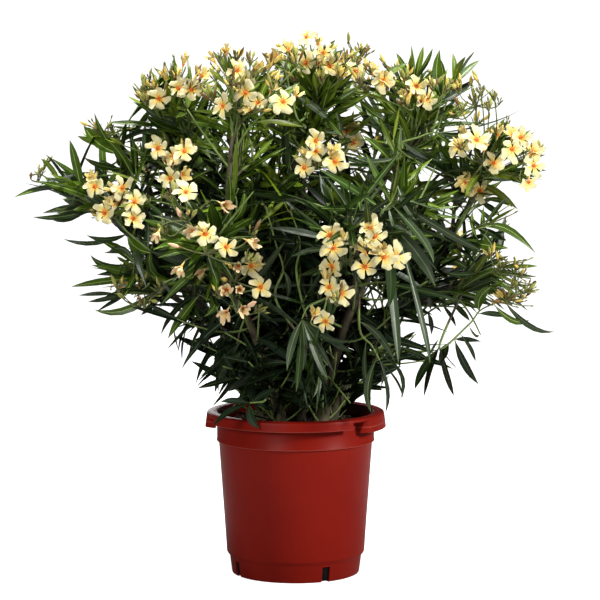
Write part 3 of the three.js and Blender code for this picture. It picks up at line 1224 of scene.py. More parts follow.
H = Habit
BOUGHS = {
    bough.name: bough
    for bough in (
        Bough("left_arm", "left", 0.9, (-0.388, -0.050, 0.712), H.SIDE, "left", 4),
        Bough("left_high", "left", 0.96, (-0.340, -0.014, 0.806), H.SIDE, "left", 4),
        Bough("left_low", "left", 0.7, (-0.292, -0.072, 0.558), H.SIDE, "left", 3),
        Bough("left_front", "front_left", 0.86, (-0.172, -0.245, 0.640), H.SIDE, "front", 8),
        Bough("top_left", "left", 1.0, (-0.228, -0.050, 0.882), H.CROWN, "top", 9),
        Bough("top_mid_left", "front_left", 1.0, (-0.100, -0.160, 0.902), H.CROWN, "top", 10),
        Bough("top_middle", "middle", 1.0, (0.044, -0.070, 0.914), H.CROWN, "top", 12),
        Bough("top_right", "front_right", 1.0, (0.238, -0.020, 0.884), H.CROWN, "top", 11),
        Bough("right_high", "right", 1.0, (0.362, -0.078, 0.782), H.AIRY, "right", 9),
        Bough("right_low", "right", 0.78, (0.352, -0.050, 0.570), H.AIRY, "right", 7),
        Bough("front_middle", "front_right", 0.8, (0.092, -0.280, 0.690), H.HEART, "front", 10),
        Bough("mid_left", "middle", 0.76, (-0.064, -0.095, 0.712), H.HEART, "front", 11),
        Bough("mid_right", "front_right", 0.9, (0.216, -0.190, 0.702), H.AIRY, "right", 9),
        Bough("low_left", "front_left", 0.16, (-0.118, -0.098, 0.436), H.SKIRT, "low", 3),
        Bough("low_middle", "front_right", 0.2, (0.028, -0.158, 0.438), H.SKIRT, "low", 7),
        Bough("low_right", "right", 0.3, (0.206, -0.088, 0.446), H.SKIRT, "low", 5),
        Bough("back_left_high", "back_left", 1.0, (-0.222, 0.185, 0.796), H.BACK, "back_left", 9),
        Bough("back_middle_high", "middle", 0.88, (-0.012, 0.150, 0.884), H.CROWN, "back_right", 12),
        Bough("back_right_high", "back_right", 1.0, (0.206, 0.190, 0.838), H.BACK, "back_right", 11),
        Bough("back_left_low", "back_left", 0.72, (-0.232, 0.165, 0.560), H.BACK, "back_left", 7),
        Bough("back_middle_low", "back_left", 0.88, (-0.004, 0.250, 0.620), H.BACK, "back_left", 11),
        Bough("low_back_left", "back_left", 0.3, (-0.120, 0.096, 0.452), H.SKIRT, "low", 3),
        Bough("low_back_right", "back_right", 0.3, (0.124, 0.092, 0.450), H.SKIRT, "low", 4),
        Bough("back_right_low", "back_right", 0.8, (0.246, 0.170, 0.556), H.BACK, "back_right", 10),
    )
}


# ---------------------------------------------------------------- leaves


@dataclass(frozen=True)
class LeafShape:
    """The outline and section of one narrow leathery leaf."""

    stations: tuple[float, ...] = (0.0, 0.06, 0.16, 0.3, 0.46, 0.62, 0.77, 0.9, 1.0)
    half_widths: tuple[float, ...] = (0.12, 0.16, 0.52, 0.86, 1.0, 0.95, 0.72, 0.36, 0.03)
    columns: tuple[float, ...] = (-1.0, -0.55, 0.0, 0.0, 0.55, 1.0)
    lifts: tuple[float, ...] = (1.0, 0.42, 0.0, 0.0, 0.42, 1.0)
    rib: float = 0.85 * MM
    rib_tip: float = 0.3 * MM


@dataclass
class LeafSheaf:
    """Leaves that wait to be made together, each along a bowed line from its foot to its tip."""

    shape: LeafShape = field(default_factory=LeafShape)
    lines: list[tuple[Array, ...]] = field(default_factory=list)
    builds: list[tuple[float, ...]] = field(default_factory=list)
    finishes: list[tuple[Leafage, Rib]] = field(default_factory=list)

    def add(
        self, line: tuple[Array, ...], build: tuple[float, ...], green: Leafage, rib: Rib
    ) -> None:
        """Adds a leaf.

        Args:
            line: Its foot, the point that its middle bows towards, its tip, and roughly where it faces.
            build: How wide it is, how far its halves fold up, its twist and its edge's wave.
            green: The blade's finish.
            rib: The midrib's finish.
        """
        self.lines.append(line)
        self.builds.append(build)
        self.finishes.append((green, rib))

    def make(self, draft: MeshDraft) -> None:
        """Makes all the leaves and adds them to a piece.

        Args:
            draft: The piece to add them to.
        """
        shape = self.shape
        foot, bend, tip, face = (np.array([line[i] for line in self.lines]) for i in range(4))
        builds = np.array(self.builds)
        width, fold, twist, wave = (builds[:, i : i + 1] for i in range(4))
        rows = []
        for t, half in zip(shape.stations, shape.half_widths):
            place = (1 - t) ** 2 * foot + 2 * t * (1 - t) * bend + t**2 * tip
            along = unit((1 - t) * (bend - foot) + t * (tip - bend) + 1e-9)
            face = square_to(face, along)
            side = np.cross(along, face)
            angle = twist * t
            face_here = face * np.cos(angle) + side * np.sin(angle)
            side = np.cross(along, face_here)
            reach = half * width / 2
            rib = np.minimum(blend(shape.rib, shape.rib_tip, t), reach * 0.6)
            ripple = 1.0 + 0.35 * np.sin(t * 9.0 + wave)
            ribs_side = iter((-1.0, 1.0))
            for column, lift in zip(shape.columns, shape.lifts):
                offset = column * reach if column else next(ribs_side) * rib
                rows.append(place + side * offset + face_here * fold * lift * reach * ripple)
        leaves, across = len(self.lines), len(shape.columns)
        points = np.stack(rows, axis=1)
        faces = grid_faces(len(shape.stations), across, False)
        shift = (np.arange(leaves) * points.shape[1])[:, None, None]
        blades = np.array([draft.slot_of(green.value) for green, _ in self.finishes])
        ribs = np.array([draft.slot_of(rib.value) for _, rib in self.finishes])
        is_rib = np.arange(len(faces)) % (across - 1) == (across - 1) // 2
        slots = np.where(is_rib[None, :], ribs[:, None], blades[:, None])
        draft.add(points.reshape(-1, 3), (faces[None] + shift).reshape(-1, 4), slots.ravel())


# ---------------------------------------------------------------- blossom


class Bloom(Enum):
    """The colours of a petal from the throat to its end: open, just opening, and faded."""

    OPEN = (Petal.ORANGE, Petal.GOLD, Petal.PALE, Petal.CREAM, Petal.CREAM, Petal.CREAM)
    GOLDEN = (Petal.ORANGE, Petal.GOLD, Petal.GOLD, Petal.PALE, Petal.PALE, Petal.CREAM)
    FADED = (Petal.GOLD, Petal.BUD_SALMON, Petal.PALE, Petal.BUD_SALMON, Petal.CREAM, Petal.BUD_SALMON)


@dataclass(frozen=True)
class Flower:
    """A single flower: five broad petals set like a pinwheel round a fringed throat.

    Its size is against a full one; fully open is 1, still furled 0; its bloom is its petals' colours.
    """

    size: float
    openness: float
    bloom: Bloom
    petals: int = 5
    teeth: int = 10
    petal_length: float = 0.0222
    throat_radius: float = 2.8 * MM
    petal_width: float = 0.0184
    tube_length: float = 0.017
    rows: tuple[float, ...] = (0.0, 0.1, 0.26, 0.46, 0.7, 0.9, 1.0)
    widths: tuple[float, ...] = (0.28, 0.36, 0.52, 0.76, 1.0, 0.98, 0.62)
    columns: tuple[float, ...] = (-1.0, -0.5, 0.0, 0.5, 1.0)

    def add(self, draft: MeshDraft, centre: Array, facing: Array, chance: Chance) -> Array:
        """Adds the flower to a piece.

        Args:
            draft: The piece.
            centre: The middle of its throat.
            facing: Where it looks.
            chance: Its source of random numbers.

        Returns:
            The foot of its tube.
        """
        facing, size = unit(facing), self.size
        side = turned_about(any_side(facing), facing, chance.uniform(0, 2 * math.pi))
        for index in range(self.petals):
            turn = 2 * math.pi * index / self.petals + chance.normal(0, 0.11)
            outward = turned_about(side, facing, turn)
            self.colour_petal(draft, self.petal(centre, facing, outward, chance), chance)
        self.add_fringe(draft, centre, facing, side)
        foot = centre - facing * self.tube_length * size
        rings = np.linspace(0.0, 1.0, 5)
        path = centre + facing * (1.5 * MM) * size - np.outer(rings, facing) * self.tube_length * size
        radii = np.array([1.15, 0.8, 0.5, 0.4, 0.42]) * self.throat_radius * size
        skins = [Petal.THROAT.value, Petal.GOLD.value, Petal.PALE.value, Petal.BUD_GREEN.value]
        tube(draft, path, radii, 7, skins)
        return foot

    def petal(self, centre: Array, facing: Array, outward: Array, chance: Chance) -> Array:
        """The points of one petal, which rises from the throat, spreads and curls back at its end.

        Args:
            centre: The middle of the throat.
            facing: Where the flower looks.
            outward: The side of the flower that it is on.
            chance: A source of random numbers.

        Returns:
            The points, row by row.
        """
        beside, size, openness = np.cross(facing, outward), self.size, self.openness
        length = self.petal_length * size * chance.uniform(0.82, 1.12)
        width = self.petal_width * size * chance.uniform(0.8, 1.1)
        rise = blend(1.3, 0.5, openness) * chance.uniform(0.7, 1.3)
        curl = blend(-0.1, 0.55, openness) * chance.uniform(-0.2, 2.0)
        roll, ruffle = chance.uniform(0.05, 0.5), chance.uniform(0, 2 * math.pi)
        closed = 1.0 - openness
        points = []
        for row, share in zip(self.rows, self.widths):
            for column in self.columns:
                reach = row * (1 - 0.15 * abs(column) ** 2.2 * row + 0.12 * column * row)
                angle = rise - (rise + curl * 0.7) * reach
                radial = length * reach * math.cos(angle * 0.8) * (1 - 0.76 * closed)
                radial = self.throat_radius * size + radial
                height = length * (rise * reach - 0.5 * (rise + curl) * reach**2) * 0.62
                height += roll * column * share * width * 0.5 * row + 0.7 * closed * length * reach
                height += 0.11 * length * math.sin(4.0 * column + 6 * row + ruffle) * row**1.5
                lateral = (column * share * width / 2 + 0.16 * length * reach**1.5) * (1 - 0.4 * closed)
                points.append(centre + outward * radial + beside * lateral + facing * height)
        return np.array(points)

    def colour_petal(self, draft: MeshDraft, points: Array, chance: Chance) -> None:
        """Adds a petal's faces, ring by ring in the bloom's colours, with a streak up its middle.

        Args:
            draft: The piece to add it to.
            points: The petal's points.
            chance: A source of random numbers.
        """
        across = len(self.columns) - 1
        skins = [[skin] * across for skin in self.bloom.value]
        for row in range(1, 1 + chance.integers(1, 5)):
            skins[row][chance.integers(1, 3)] = self.bloom.value[row - 1]
        slots = np.array([draft.slot_of(skin.value) for ring in skins for skin in ring])
        draft.add(points, grid_faces(len(self.rows), len(self.columns), False), slots)

    def add_fringe(self, draft: MeshDraft, centre: Array, facing: Array, side: Array) -> None:
        """Adds the fringe of narrow teeth that stands up round the throat.

        Args:
            draft: The piece to add it to.
            centre: The middle of the throat.
            facing: Where the flower looks.
            side: The side that the first petal is on.
        """
        size = self.size
        for index in range(self.teeth):
            outward = turned_about(side, facing, 2 * math.pi * (index + 0.5) / self.teeth)
            across = np.cross(facing, outward) * 0.7 * MM * size
            root = centre + outward * self.throat_radius * 0.8 * size + facing * 0.6 * MM * size
            tip = root + (facing * 3.4 - outward * 0.9) * MM * size
            finish = Petal.THROAT if index % 2 else Petal.ORANGE
            points = np.array([root - across, root + across, tip])
            draft.add(points, np.array([(0, 1, 2, NO_CORNER)]), finish.value)


@dataclass(frozen=True)
class Bud:
    """A furled flower: a pointed spindle on a dark calyx, swayed a little to one side.

    Its size is against a full one, and its skin is the colour of its furled petals.
    """

    size: float
    skin: Petal
    sway: float
    length: float = 0.021
    radius: float = 2.6 * MM
    sides: int = 7

    def add(self, draft: MeshDraft, foot: Array, along: Array) -> None:
        """Adds the bud to a piece, from its foot on a stalk towards where it points.

        Args:
            draft: The piece to add it to.
            foot: Where it starts.
            along: Where it points.
        """
        along = unit(along)
        shares = np.array([0.0, 0.1, 0.22, 0.42, 0.62, 0.82, 1.0])
        swell = np.array([0.42, 0.62, 0.55, 1.0, 0.95, 0.5, 0.06])
        aside = any_side(along) * self.sway * np.sin(shares * math.pi)[:, None] * self.radius
        path = foot + np.outer(shares, along) * self.length * self.size + aside
        skins = [Petal.CALYX.value, Petal.CALYX.value, *[self.skin.value] * 4]

        def furl(_point: Array, angle: float, ring: int) -> float:
            """The folded petals' spiral edges."""
            return 0.16 * math.cos(2.5 * angle - 1.1 * ring) if ring > 2 else 0.0

        tube(draft, path, swell * self.radius * self.size, self.sides, skins, furl)


class Stage(Enum):
    """How far on a truss is."""

    FRESH = "fresh"
    FADING = "fading"
    BUDS = "buds"


BUD_SKINS = {
    Stage.FRESH: (Petal.BUD_YELLOW, Petal.BUD_GREEN, Petal.BUD_YELLOW, Petal.BUD_GREEN, Petal.GOLD),
    Stage.FADING: (Petal.BUD_SALMON, Petal.BUD_SALMON, Petal.BUD_YELLOW, Petal.BUD_GREEN),
    Stage.BUDS: (Petal.BUD_GREEN, Petal.GOLD, Petal.BUD_YELLOW, Petal.CALYX, Petal.BUD_GREEN),
}


@dataclass(frozen=True)
class Truss:
    """A head of flowers and buds at the end of a shoot.

    Flowers and buds are placed as they line up, seen from the front, on the plant's middle plane, in
    millimetres across and up. They are slid forward along that line of sight to the mass that bears them.
    """

    bough: str
    flowers: tuple[tuple[int, int], ...] = ()
    furled: tuple[tuple[int, int], ...] = ()
    buds: int = 14
    stage: Stage = Stage.FRESH
    forward: float = 0.0


F, B = Stage.FADING, Stage.BUDS
TRUSSES = (
    Truss("top_left", ((-192, 903), (-216, 905), (-252, 886)), ((-207, 949), (-176, 925), (-240, 925)), 26),
    Truss("top_left", (), ((-262, 912), (-285, 905)), 16, B),
    Truss("top_mid_left", ((-108, 938), (-95, 920), (-92, 897)), ((-150, 955), (-75, 940), (-128, 968)), 26),
    Truss("top_mid_left", ((-134, 873), (-69, 879), (-23, 881)), ((-2, 890), (-45, 900)), 10, forward=0.02),
    Truss("top_middle", ((19, 952), (20, 999), (51, 970), (62, 946)),
          ((-34, 962), (-12, 975), (80, 955)), 20),
    Truss("top_middle", ((110, 936), (162, 919)), ((143, 932), (130, 945)), 18),
    Truss("top_middle", (), ((97, 998), (122, 981)), 16, B),
    Truss("top_right", ((242, 886), (223, 909)), ((205, 893), (250, 905), (232, 880)), 14),
    Truss("top_right", (), ((311, 860), (325, 918), (344, 897), (368, 893)), 26, B),
    Truss("back_middle_high", ((95, 827), (109, 805)), ((80, 820),), 6, forward=0.1),
    Truss("mid_left", ((38, 789), (16, 758), (73, 769), (38, 808)), ((25, 775),), 10, forward=0.06),
    Truss("top_left", ((-255, 794), (-232, 739), (-226, 779), (-206, 789)), ((-240, 770),), 8, forward=0.03),
    Truss("left_arm", ((-354, 675), (-302, 664), (-322, 721), (-299, 695), (-327, 697)), ((-340, 715),), 8),
    Truss("left_arm", ((-372, 723),), ((-380, 735),), 8),
    Truss("left_front", ((-203, 713),),
          ((-216, 673), (-188, 673), (-200, 676), (-137, 692), (-255, 638)), 10, F),
    Truss("left_front", ((-168, 635), (-129, 611)),
          ((-88, 623), (-190, 640), (-213, 574), (-225, 614)), 10, F),
    Truss("left_front", ((-83, 576), (-65, 536)), ((-123, 576), (-106, 576), (-132, 550), (-170, 569)), 8, F),
    Truss("left_front", (), ((-128, 531), (-104, 531), (-128, 491), (-99, 498), (-85, 503)), 8, F),
    Truss("front_middle", ((64, 633), (70, 609), (112, 613), (68, 575), (129, 574)), ((84, 622),), 6),
    Truss("front_middle", ((147, 630), (138, 647), (164, 592), (186, 592)), ((150, 600), (160, 604)), 4),
    Truss("front_middle", ((63, 536), (84, 524)), ((60, 520),), 6),
    Truss("front_middle", ((56, 472),), ((33, 482),), 0),
    Truss("right_high", ((304, 798), (335, 810), (367, 767), (401, 793)), ((375, 819), (316, 732)), 10),
    Truss("right_high", ((416, 814), (438, 788), (441, 762), (432, 732)), ((425, 800), (400, 815)), 16),
    Truss("right_high", ((342, 716),), ((320, 730),), 5),
    Truss("right_low", (), ((380, 594), (410, 575), (444, 545), (425, 520)), 18, B),
    Truss("left_low", (), ((-325, 520), (-290, 515), (-262, 510)), 14, B),
    Truss("left_arm", (), ((-490, 745), (-470, 756)), 10, B),
    Truss("left_high", (), ((-366, 838), (-345, 836)), 12, B),
)


PANICLES = {
    "top_left": (
        (-270, 920), (-244, 938), (-227, 953), (-203, 946), (-184, 927), (-166, 920), (-283, 897),
        (-260, 892),
    ),
    "top_mid_left": (
        (-155, 949), (-140, 957), (-110, 953), (-84, 946), (-62, 931), (-47, 942), (-118, 905), (-147, 916),
    ),
    "top_middle": (
        (-34, 949), (-12, 964), (3, 946), (92, 953), (105, 946), (123, 964), (79, 920), (49, 912), (8, 912),
    ),
    "top_right": (
        (142, 931), (168, 946), (186, 931), (203, 916), (253, 901), (223, 882), (164, 890), (134, 894),
    ),
    "right_high": (
        (309, 860), (331, 875), (344, 890), (368, 882), (357, 864), (388, 830), (372, 819), (409, 819),
    ),
    "right_low": (
        (379, 570), (407, 581), (420, 555), (401, 533), (427, 525), (416, 507), (388, 510),
    ),
    "left_high": (
        (-368, 830), (-340, 842), (-329, 830), (-307, 838),
    ),
    "left_low": (
        (-318, 522), (-288, 529), (-270, 518), (-251, 525),
    ),
}


# ---------------------------------------------------------------- placed shoots


@dataclass(frozen=True)
class Sprig:
    """A shoot whose leaves are placed one by one.

    Its path, leaves and buds are placed as they line up, seen from the front, on the plant's middle
    plane, in millimetres across and up. The whole sprig stands at one depth, in millimetres.
    Each leaf has its foot, the point that it bows towards, its tip, its seen width and its finish.
    """

    bough: str
    at: float
    depth: int
    path: tuple[tuple[int, int], ...]
    leaves: tuple[tuple[int, int, int, int, int, int, int, str], ...]
    buds: tuple[tuple[int, int], ...] = ()


LETTERS = {
    "L": (Leafage.LOWEST, Rib.FAINT),
    "S": (Leafage.SHADED, Rib.DIM),
    "D": (Leafage.DEEP, Rib.DIM),
    "K": (Leafage.DARK, Rib.PALE),
    "G": (Leafage.GREEN, Rib.BRIGHT),
    "Y": (Leafage.GREY, Rib.PALE),
    "F": (Leafage.FRESH, Rib.BRIGHT),
}

SPRIGS = (
    Sprig("left_arm", 0.86, -70, ((-366, 687), (-436, 726), (-470, 745)), (
        (-436, 723, -473, 723, -522, 704, 11, "G"), (-433, 728, -451, 765, -472, 775, 9, "F"),
        (-396, 710, -418, 737, -435, 754, 13, "K"), (-366, 687, -418, 689, -470, 674, 11, "K"),
        (-366, 685, -425, 661, -488, 667, 11, "K"), (-384, 674, -422, 643, -459, 667, 6, "D"),
        (-399, 702, -418, 700, -442, 715, 7, "D"), (-375, 726, -407, 767, -418, 810, 15, "G"),
        (-388, 765, -433, 763, -464, 784, 4, "D"), (-368, 689, -377, 719, -379, 756, 11, "K"),
        (-392, 704, -399, 730, -414, 749, 7, "D"),
    ), (
        (-494, 745), (-481, 750), (-475, 762), (-479, 736), (-464, 752), (-486, 745),
    )),
    Sprig("left_high", 0.9, -50, ((-297, 737), (-329, 790), (-349, 816)), (
        (-351, 769, -375, 799, -392, 838, 15, "G"), (-351, 771, -357, 808, -372, 860, 11, "G"),
        (-271, 702, -292, 771, -309, 834, 11, "K"), (-277, 730, -270, 790, -275, 849, 4, "D"),
        (-360, 732, -347, 775, -320, 765, 9, "D"), (-305, 734, -318, 786, -351, 812, 15, "G"),
        (-260, 704, -242, 715, -210, 715, 9, "K"), (-288, 743, -299, 786, -305, 823, 9, "G"),
        (-329, 741, -362, 756, -392, 778, 9, "K"), (-316, 790, -321, 812, -314, 842, 7, "K"),
    ), (
        (-368, 825), (-357, 819), (-333, 829), (-340, 853), (-338, 821), (-310, 842), (-303, 832),
    )),
    Sprig("left_arm", 0.8, -110, ((-270, 604), (-310, 637), (-340, 669)), (
        (-312, 639, -347, 615, -388, 633, 7, "D"), (-321, 630, -377, 604, -431, 626, 9, "D"),
        (-333, 615, -329, 644, -338, 670, 7, "D"), (-271, 592, -301, 604, -312, 631, 17, "G"),
        (-283, 650, -277, 687, -283, 715, 7, "G"),
    )),
    Sprig("left_low", 0.88, -90, ((-149, 540), (-214, 542), (-273, 559), (-299, 581)), (
        (-297, 574, -325, 611, -362, 622, 15, "G"), (-301, 577, -318, 626, -349, 600, 7, "Y"),
        (-305, 572, -360, 564, -381, 596, 9, "K"), (-277, 559, -325, 566, -370, 559, 13, "D"),
        (-281, 550, -359, 548, -418, 537, 15, "G"), (-246, 533, -310, 470, -375, 494, 13, "G"),
        (-240, 525, -266, 499, -288, 484, 13, "S"), (-310, 529, -325, 516, -347, 512, 4, "D"),
        (-195, 550, -296, 537, -266, 615, 15, "G"), (-136, 602, -205, 615, -266, 600, 15, "D"),
        (-177, 555, -125, 510, -170, 481, 17, "G"), (-168, 581, -214, 581, -255, 574, 11, "K"),
        (-223, 540, -251, 544, -270, 559, 9, "F"),
    ), (
        (-316, 527), (-299, 531), (-281, 540), (-294, 516), (-270, 520), (-255, 527), (-283, 512),
        (-242, 512), (-221, 529),
    )),
    Sprig("left_low", 0.7, -95, ((-107, 507), (-151, 510), (-183, 524)), (
        (-183, 524, -233, 496, -251, 447, 11, "S"), (-181, 520, -214, 481, -238, 440, 17, "G"),
        (-162, 477, -207, 455, -240, 419, 7, "S"), (-147, 470, -190, 455, -201, 399, 7, "S"),
        (-151, 462, -166, 436, -184, 432, 6, "S"), (-155, 455, -162, 427, -173, 418, 6, "S"),
    )),
    Sprig("low_left", 0.5, -120, ((-62, 399), (-92, 427), (-132, 451)), (
        (-134, 444, -170, 414, -186, 356, 9, "S"), (-120, 440, -144, 418, -147, 382, 7, "S"),
        (-125, 397, -155, 384, -177, 369, 6, "S"), (-105, 427, -138, 395, -151, 338, 15, "D"),
        (-101, 399, -121, 347, -157, 311, 9, "S"), (-97, 380, -110, 351, -127, 341, 11, "S"),
        (-82, 391, -107, 354, -125, 339, 7, "S"), (-136, 440, -166, 440, -195, 431, 7, "S"),
        (-103, 371, -107, 339, -105, 317, 7, "D"), (-94, 418, -118, 406, -136, 377, 9, "D"),
    )),
    Sprig("right_low", 0.86, -95, ((268, 423), (323, 466), (346, 494), (388, 512)), (
        (344, 484, 370, 492, 396, 479, 9, "D"), (375, 494, 407, 458, 436, 475, 9, "G"),
        (410, 512, 435, 447, 483, 453, 7, "Y"), (344, 492, 334, 518, 364, 537, 18, "G"),
        (297, 436, 320, 442, 346, 434, 9, "D"), (299, 434, 312, 388, 342, 354, 13, "S"),
        (312, 436, 331, 418, 336, 397, 7, "S"), (286, 436, 279, 414, 268, 393, 17, "D"),
        (251, 406, 283, 365, 296, 332, 9, "S"), (275, 406, 283, 369, 294, 336, 9, "S"),
        (236, 418, 247, 373, 240, 330, 9, "S"), (220, 414, 231, 377, 223, 345, 15, "D"),
        (268, 408, 290, 391, 303, 382, 4, "S"), (323, 464, 334, 436, 342, 447, 6, "K"),
    ), (
        (444, 527), (436, 540), (431, 516), (440, 501), (416, 514), (403, 505), (423, 529), (449, 531),
        (399, 529), (388, 518), (412, 499),
    )),
    Sprig("right_low", 0.7, -70, ((296, 551), (338, 563), (379, 581)), (
        (349, 594, 342, 637, 349, 687, 11, "G"), (323, 581, 296, 596, 268, 581, 11, "K"),
        (338, 563, 312, 555, 283, 563, 11, "D"), (342, 570, 375, 574, 390, 563, 7, "F"),
    ), (
        (438, 590), (425, 587), (386, 570), (397, 563), (377, 576), (436, 553), (420, 557), (407, 550),
        (392, 581), (427, 548), (438, 542),
    )),
    Sprig("right_high", 0.9, -90, ((296, 631), (323, 641), (349, 648)), (
        (353, 644, 386, 667, 446, 600, 13, "G"), (349, 617, 370, 633, 392, 624, 15, "D"),
        (309, 590, 346, 615, 396, 609, 15, "G"), (373, 667, 384, 670, 403, 682, 6, "F"),
        (338, 626, 309, 615, 268, 622, 9, "Y"), (353, 669, 379, 696, 394, 704, 7, "K"),
    ), (
        (405, 683), (409, 676), (397, 689),
    )),
    Sprig("top_right", 0.95, -40, ((216, 830), (218, 875), (220, 920)), (
        (221, 909, 201, 946, 186, 970, 9, "G"), (220, 916, 214, 953, 214, 985, 6, "G"),
        (223, 916, 227, 953, 236, 983, 11, "F"), (227, 920, 242, 953, 253, 979, 7, "G"),
        (218, 920, 212, 946, 216, 964, 7, "F"), (231, 897, 244, 923, 255, 938, 9, "G"),
    )),
    Sprig("top_right", 0.98, -60, ((246, 808), (260, 849), (270, 886)), (
        (270, 886, 253, 931, 266, 976, 17, "G"), (273, 897, 277, 931, 266, 961, 9, "G"),
        (268, 882, 296, 890, 331, 923, 17, "Y"), (233, 899, 246, 923, 257, 946, 7, "K"),
    )),
    Sprig("top_right", 0.9, -50, ((249, 799), (275, 868), (292, 912)), (
        (290, 905, 297, 942, 290, 970, 9, "F"), (294, 916, 299, 953, 314, 964, 9, "F"),
        (297, 912, 312, 938, 340, 957, 13, "G"), (305, 938, 316, 953, 331, 974, 4, "Y"),
        (281, 882, 290, 897, 297, 927, 9, "F"), (301, 886, 309, 875, 307, 849, 7, "Y"),
    )),
    Sprig("right_high", 0.8, -120, ((194, 790), (231, 816), (260, 825)), (
        (249, 823, 364, 827, 427, 873, 6, "Y"), (314, 888, 349, 886, 372, 910, 4, "Y"),
        (194, 816, 221, 786, 268, 771, 11, "Y"), (268, 790, 309, 808, 342, 830, 11, "K"),
        (166, 737, 131, 756, 110, 782, 9, "Y"),
    )),
    Sprig("top_left", 0.95, -60, ((-149, 790), (-177, 830), (-203, 860)), (
        (-214, 866, -251, 871, -286, 884, 11, "K"), (-195, 842, -255, 838, -286, 879, 13, "Y"),
        (-199, 823, -255, 827, -279, 860, 13, "K"), (-183, 806, -218, 812, -251, 832, 11, "D"),
        (-177, 808, -221, 838, -266, 853, 11, "Y"), (-221, 909, -233, 927, -227, 948, 15, "G"),
    ), (
        (-227, 966), (-242, 953), (-258, 940), (-279, 929), (-270, 916), (-296, 912), (-199, 962),
    )),
    Sprig("top_middle", 0.9, -120, ((8, 845), (-6, 882), (-14, 912)), (
        (-14, 901, -31, 931, -18, 955, 18, "K"), (14, 905, 34, 875, 66, 843, 13, "Y"),
    ), (
        (-12, 976), (-34, 962),
    )),
    Sprig("top_middle", 0.95, -60, ((64, 882), (60, 920), (57, 953)), (
        (49, 961, 57, 979, 73, 994, 11, "G"), (69, 938, 69, 961, 88, 976, 17, "K"),
        (142, 843, 105, 856, 77, 866, 13, "Y"), (175, 823, 105, 804, 53, 827, 11, "Y"),
        (75, 946, 92, 946, 105, 957, 6, "F"),
    )),
    Sprig("mid_right", 0.8, -250, ((157, 669), (179, 696), (190, 724)), (
        (188, 730, 201, 685, 223, 661, 15, "Y"), (190, 656, 238, 604, 260, 537, 20, "Y"),
        (231, 650, 249, 622, 257, 581, 17, "Y"), (238, 477, 249, 436, 251, 393, 11, "Y"),
        (149, 507, 190, 447, 192, 395, 15, "Y"), (177, 577, 186, 540, 173, 499, 18, "D"),
        (268, 652, 309, 618, 346, 605, 13, "Y"), (171, 685, 183, 652, 197, 622, 11, "K"),
        (138, 548, 171, 518, 190, 473, 9, "D"), (147, 696, 82, 667, 45, 667, 11, "Y"),
        (129, 719, 101, 726, 49, 752, 15, "K"), (240, 689, 283, 670, 342, 656, 7, "Y"),
    )),
    Sprig("mid_right", 0.05, -170, ((120, 455), (142, 427), (157, 399)), (
        (164, 369, 179, 336, 168, 300, 7, "S"), (171, 429, 216, 384, 197, 326, 7, "S"),
        (183, 403, 194, 362, 201, 328, 6, "S"), (123, 510, 160, 455, 186, 395, 13, "Y"),
        (134, 399, 123, 343, 142, 300, 13, "Y"), (112, 414, 123, 369, 142, 324, 9, "Y"),
        (184, 418, 171, 377, 158, 347, 9, "S"),
    )),
    Sprig("front_middle", 0.25, -215, ((45, 510), (23, 499), (12, 477)), (
        (12, 470, -10, 436, -16, 380, 13, "Y"), (10, 464, 19, 427, 14, 380, 11, "Y"),
        (25, 466, 42, 432, 71, 377, 11, "Y"), (29, 470, 57, 425, 105, 436, 9, "D"),
        (42, 455, 82, 425, 105, 414, 9, "D"), (49, 399, 49, 377, 60, 364, 11, "Y"),
        (1, 425, 8, 388, 1, 339, 11, "K"),
    )),
    Sprig("low_left", 0.2, -165, ((-60, 322), (-73, 320), (-86, 319)), (
        (-86, 315, -112, 326, -140, 321, 11, "L"), (-88, 313, -129, 306, -155, 274, 13, "L"),
        (-86, 310, -92, 287, -68, 271, 15, "L"), (-82, 317, -62, 339, -36, 345, 11, "L"),
        (-86, 319, -81, 343, -81, 365, 15, "L"), (-81, 313, -58, 317, -36, 302, 9, "L"),
    )),
    Sprig("low_middle", 0.9, -190, ((-36, 510), (-23, 568), (-36, 615), (-55, 685)), (
        (-51, 510, -62, 548, -58, 581, 7, "D"), (-23, 566, -6, 540, -18, 510, 9, "Y"),
    ), (
        (-62, 691), (-53, 683), (-62, 696),
    )),
    Sprig("low_middle", 0.75, -185, ((3, 551), (8, 604), (5, 637), (-8, 674)), (
        (-10, 518, 8, 566, 5, 600, 7, "F"),
    ), (
        (-14, 678), (-8, 683),
    )),
    Sprig("left_front", 0.75, -175, ((-118, 656), (-110, 696), (-125, 743)), (
        (-121, 656, -92, 678, -95, 719, 13, "G"), (-125, 652, -118, 704, -123, 749, 11, "G"),
        (-125, 644, -151, 663, -144, 685, 11, "G"), (-110, 641, -88, 637, -77, 659, 11, "G"),
    )),
    Sprig("right_high", 0.8, -60, ((300, 650), (325, 675), (345, 700)), (
        (364, 719, 388, 704, 403, 685, 7, "G"), (342, 697, 364, 687, 379, 669, 9, "D"),
        (334, 678, 351, 697, 375, 704, 9, "Y"), (331, 674, 323, 650, 338, 626, 9, "G"),
        (323, 687, 305, 669, 296, 644, 11, "D"), (338, 682, 358, 669, 371, 648, 9, "Y"),
        (316, 697, 296, 706, 279, 697, 9, "K"), (342, 704, 357, 723, 373, 734, 7, "F"),
    )),
    Sprig("right_low", 0.6, -30, ((230, 480), (265, 500), (296, 512)), (
        (265, 500, 279, 525, 303, 544, 9, "Y"), (283, 507, 305, 525, 327, 525, 9, "D"),
        (296, 512, 318, 510, 342, 496, 9, "G"), (290, 509, 312, 492, 325, 473, 9, "K"),
        (272, 503, 290, 484, 299, 462, 9, "S"), (250, 492, 246, 518, 253, 542, 9, "D"),
        (244, 488, 255, 470, 253, 447, 9, "S"), (296, 512, 312, 531, 318, 548, 6, "G"),
    )),
)


# ---------------------------------------------------------------- the crown


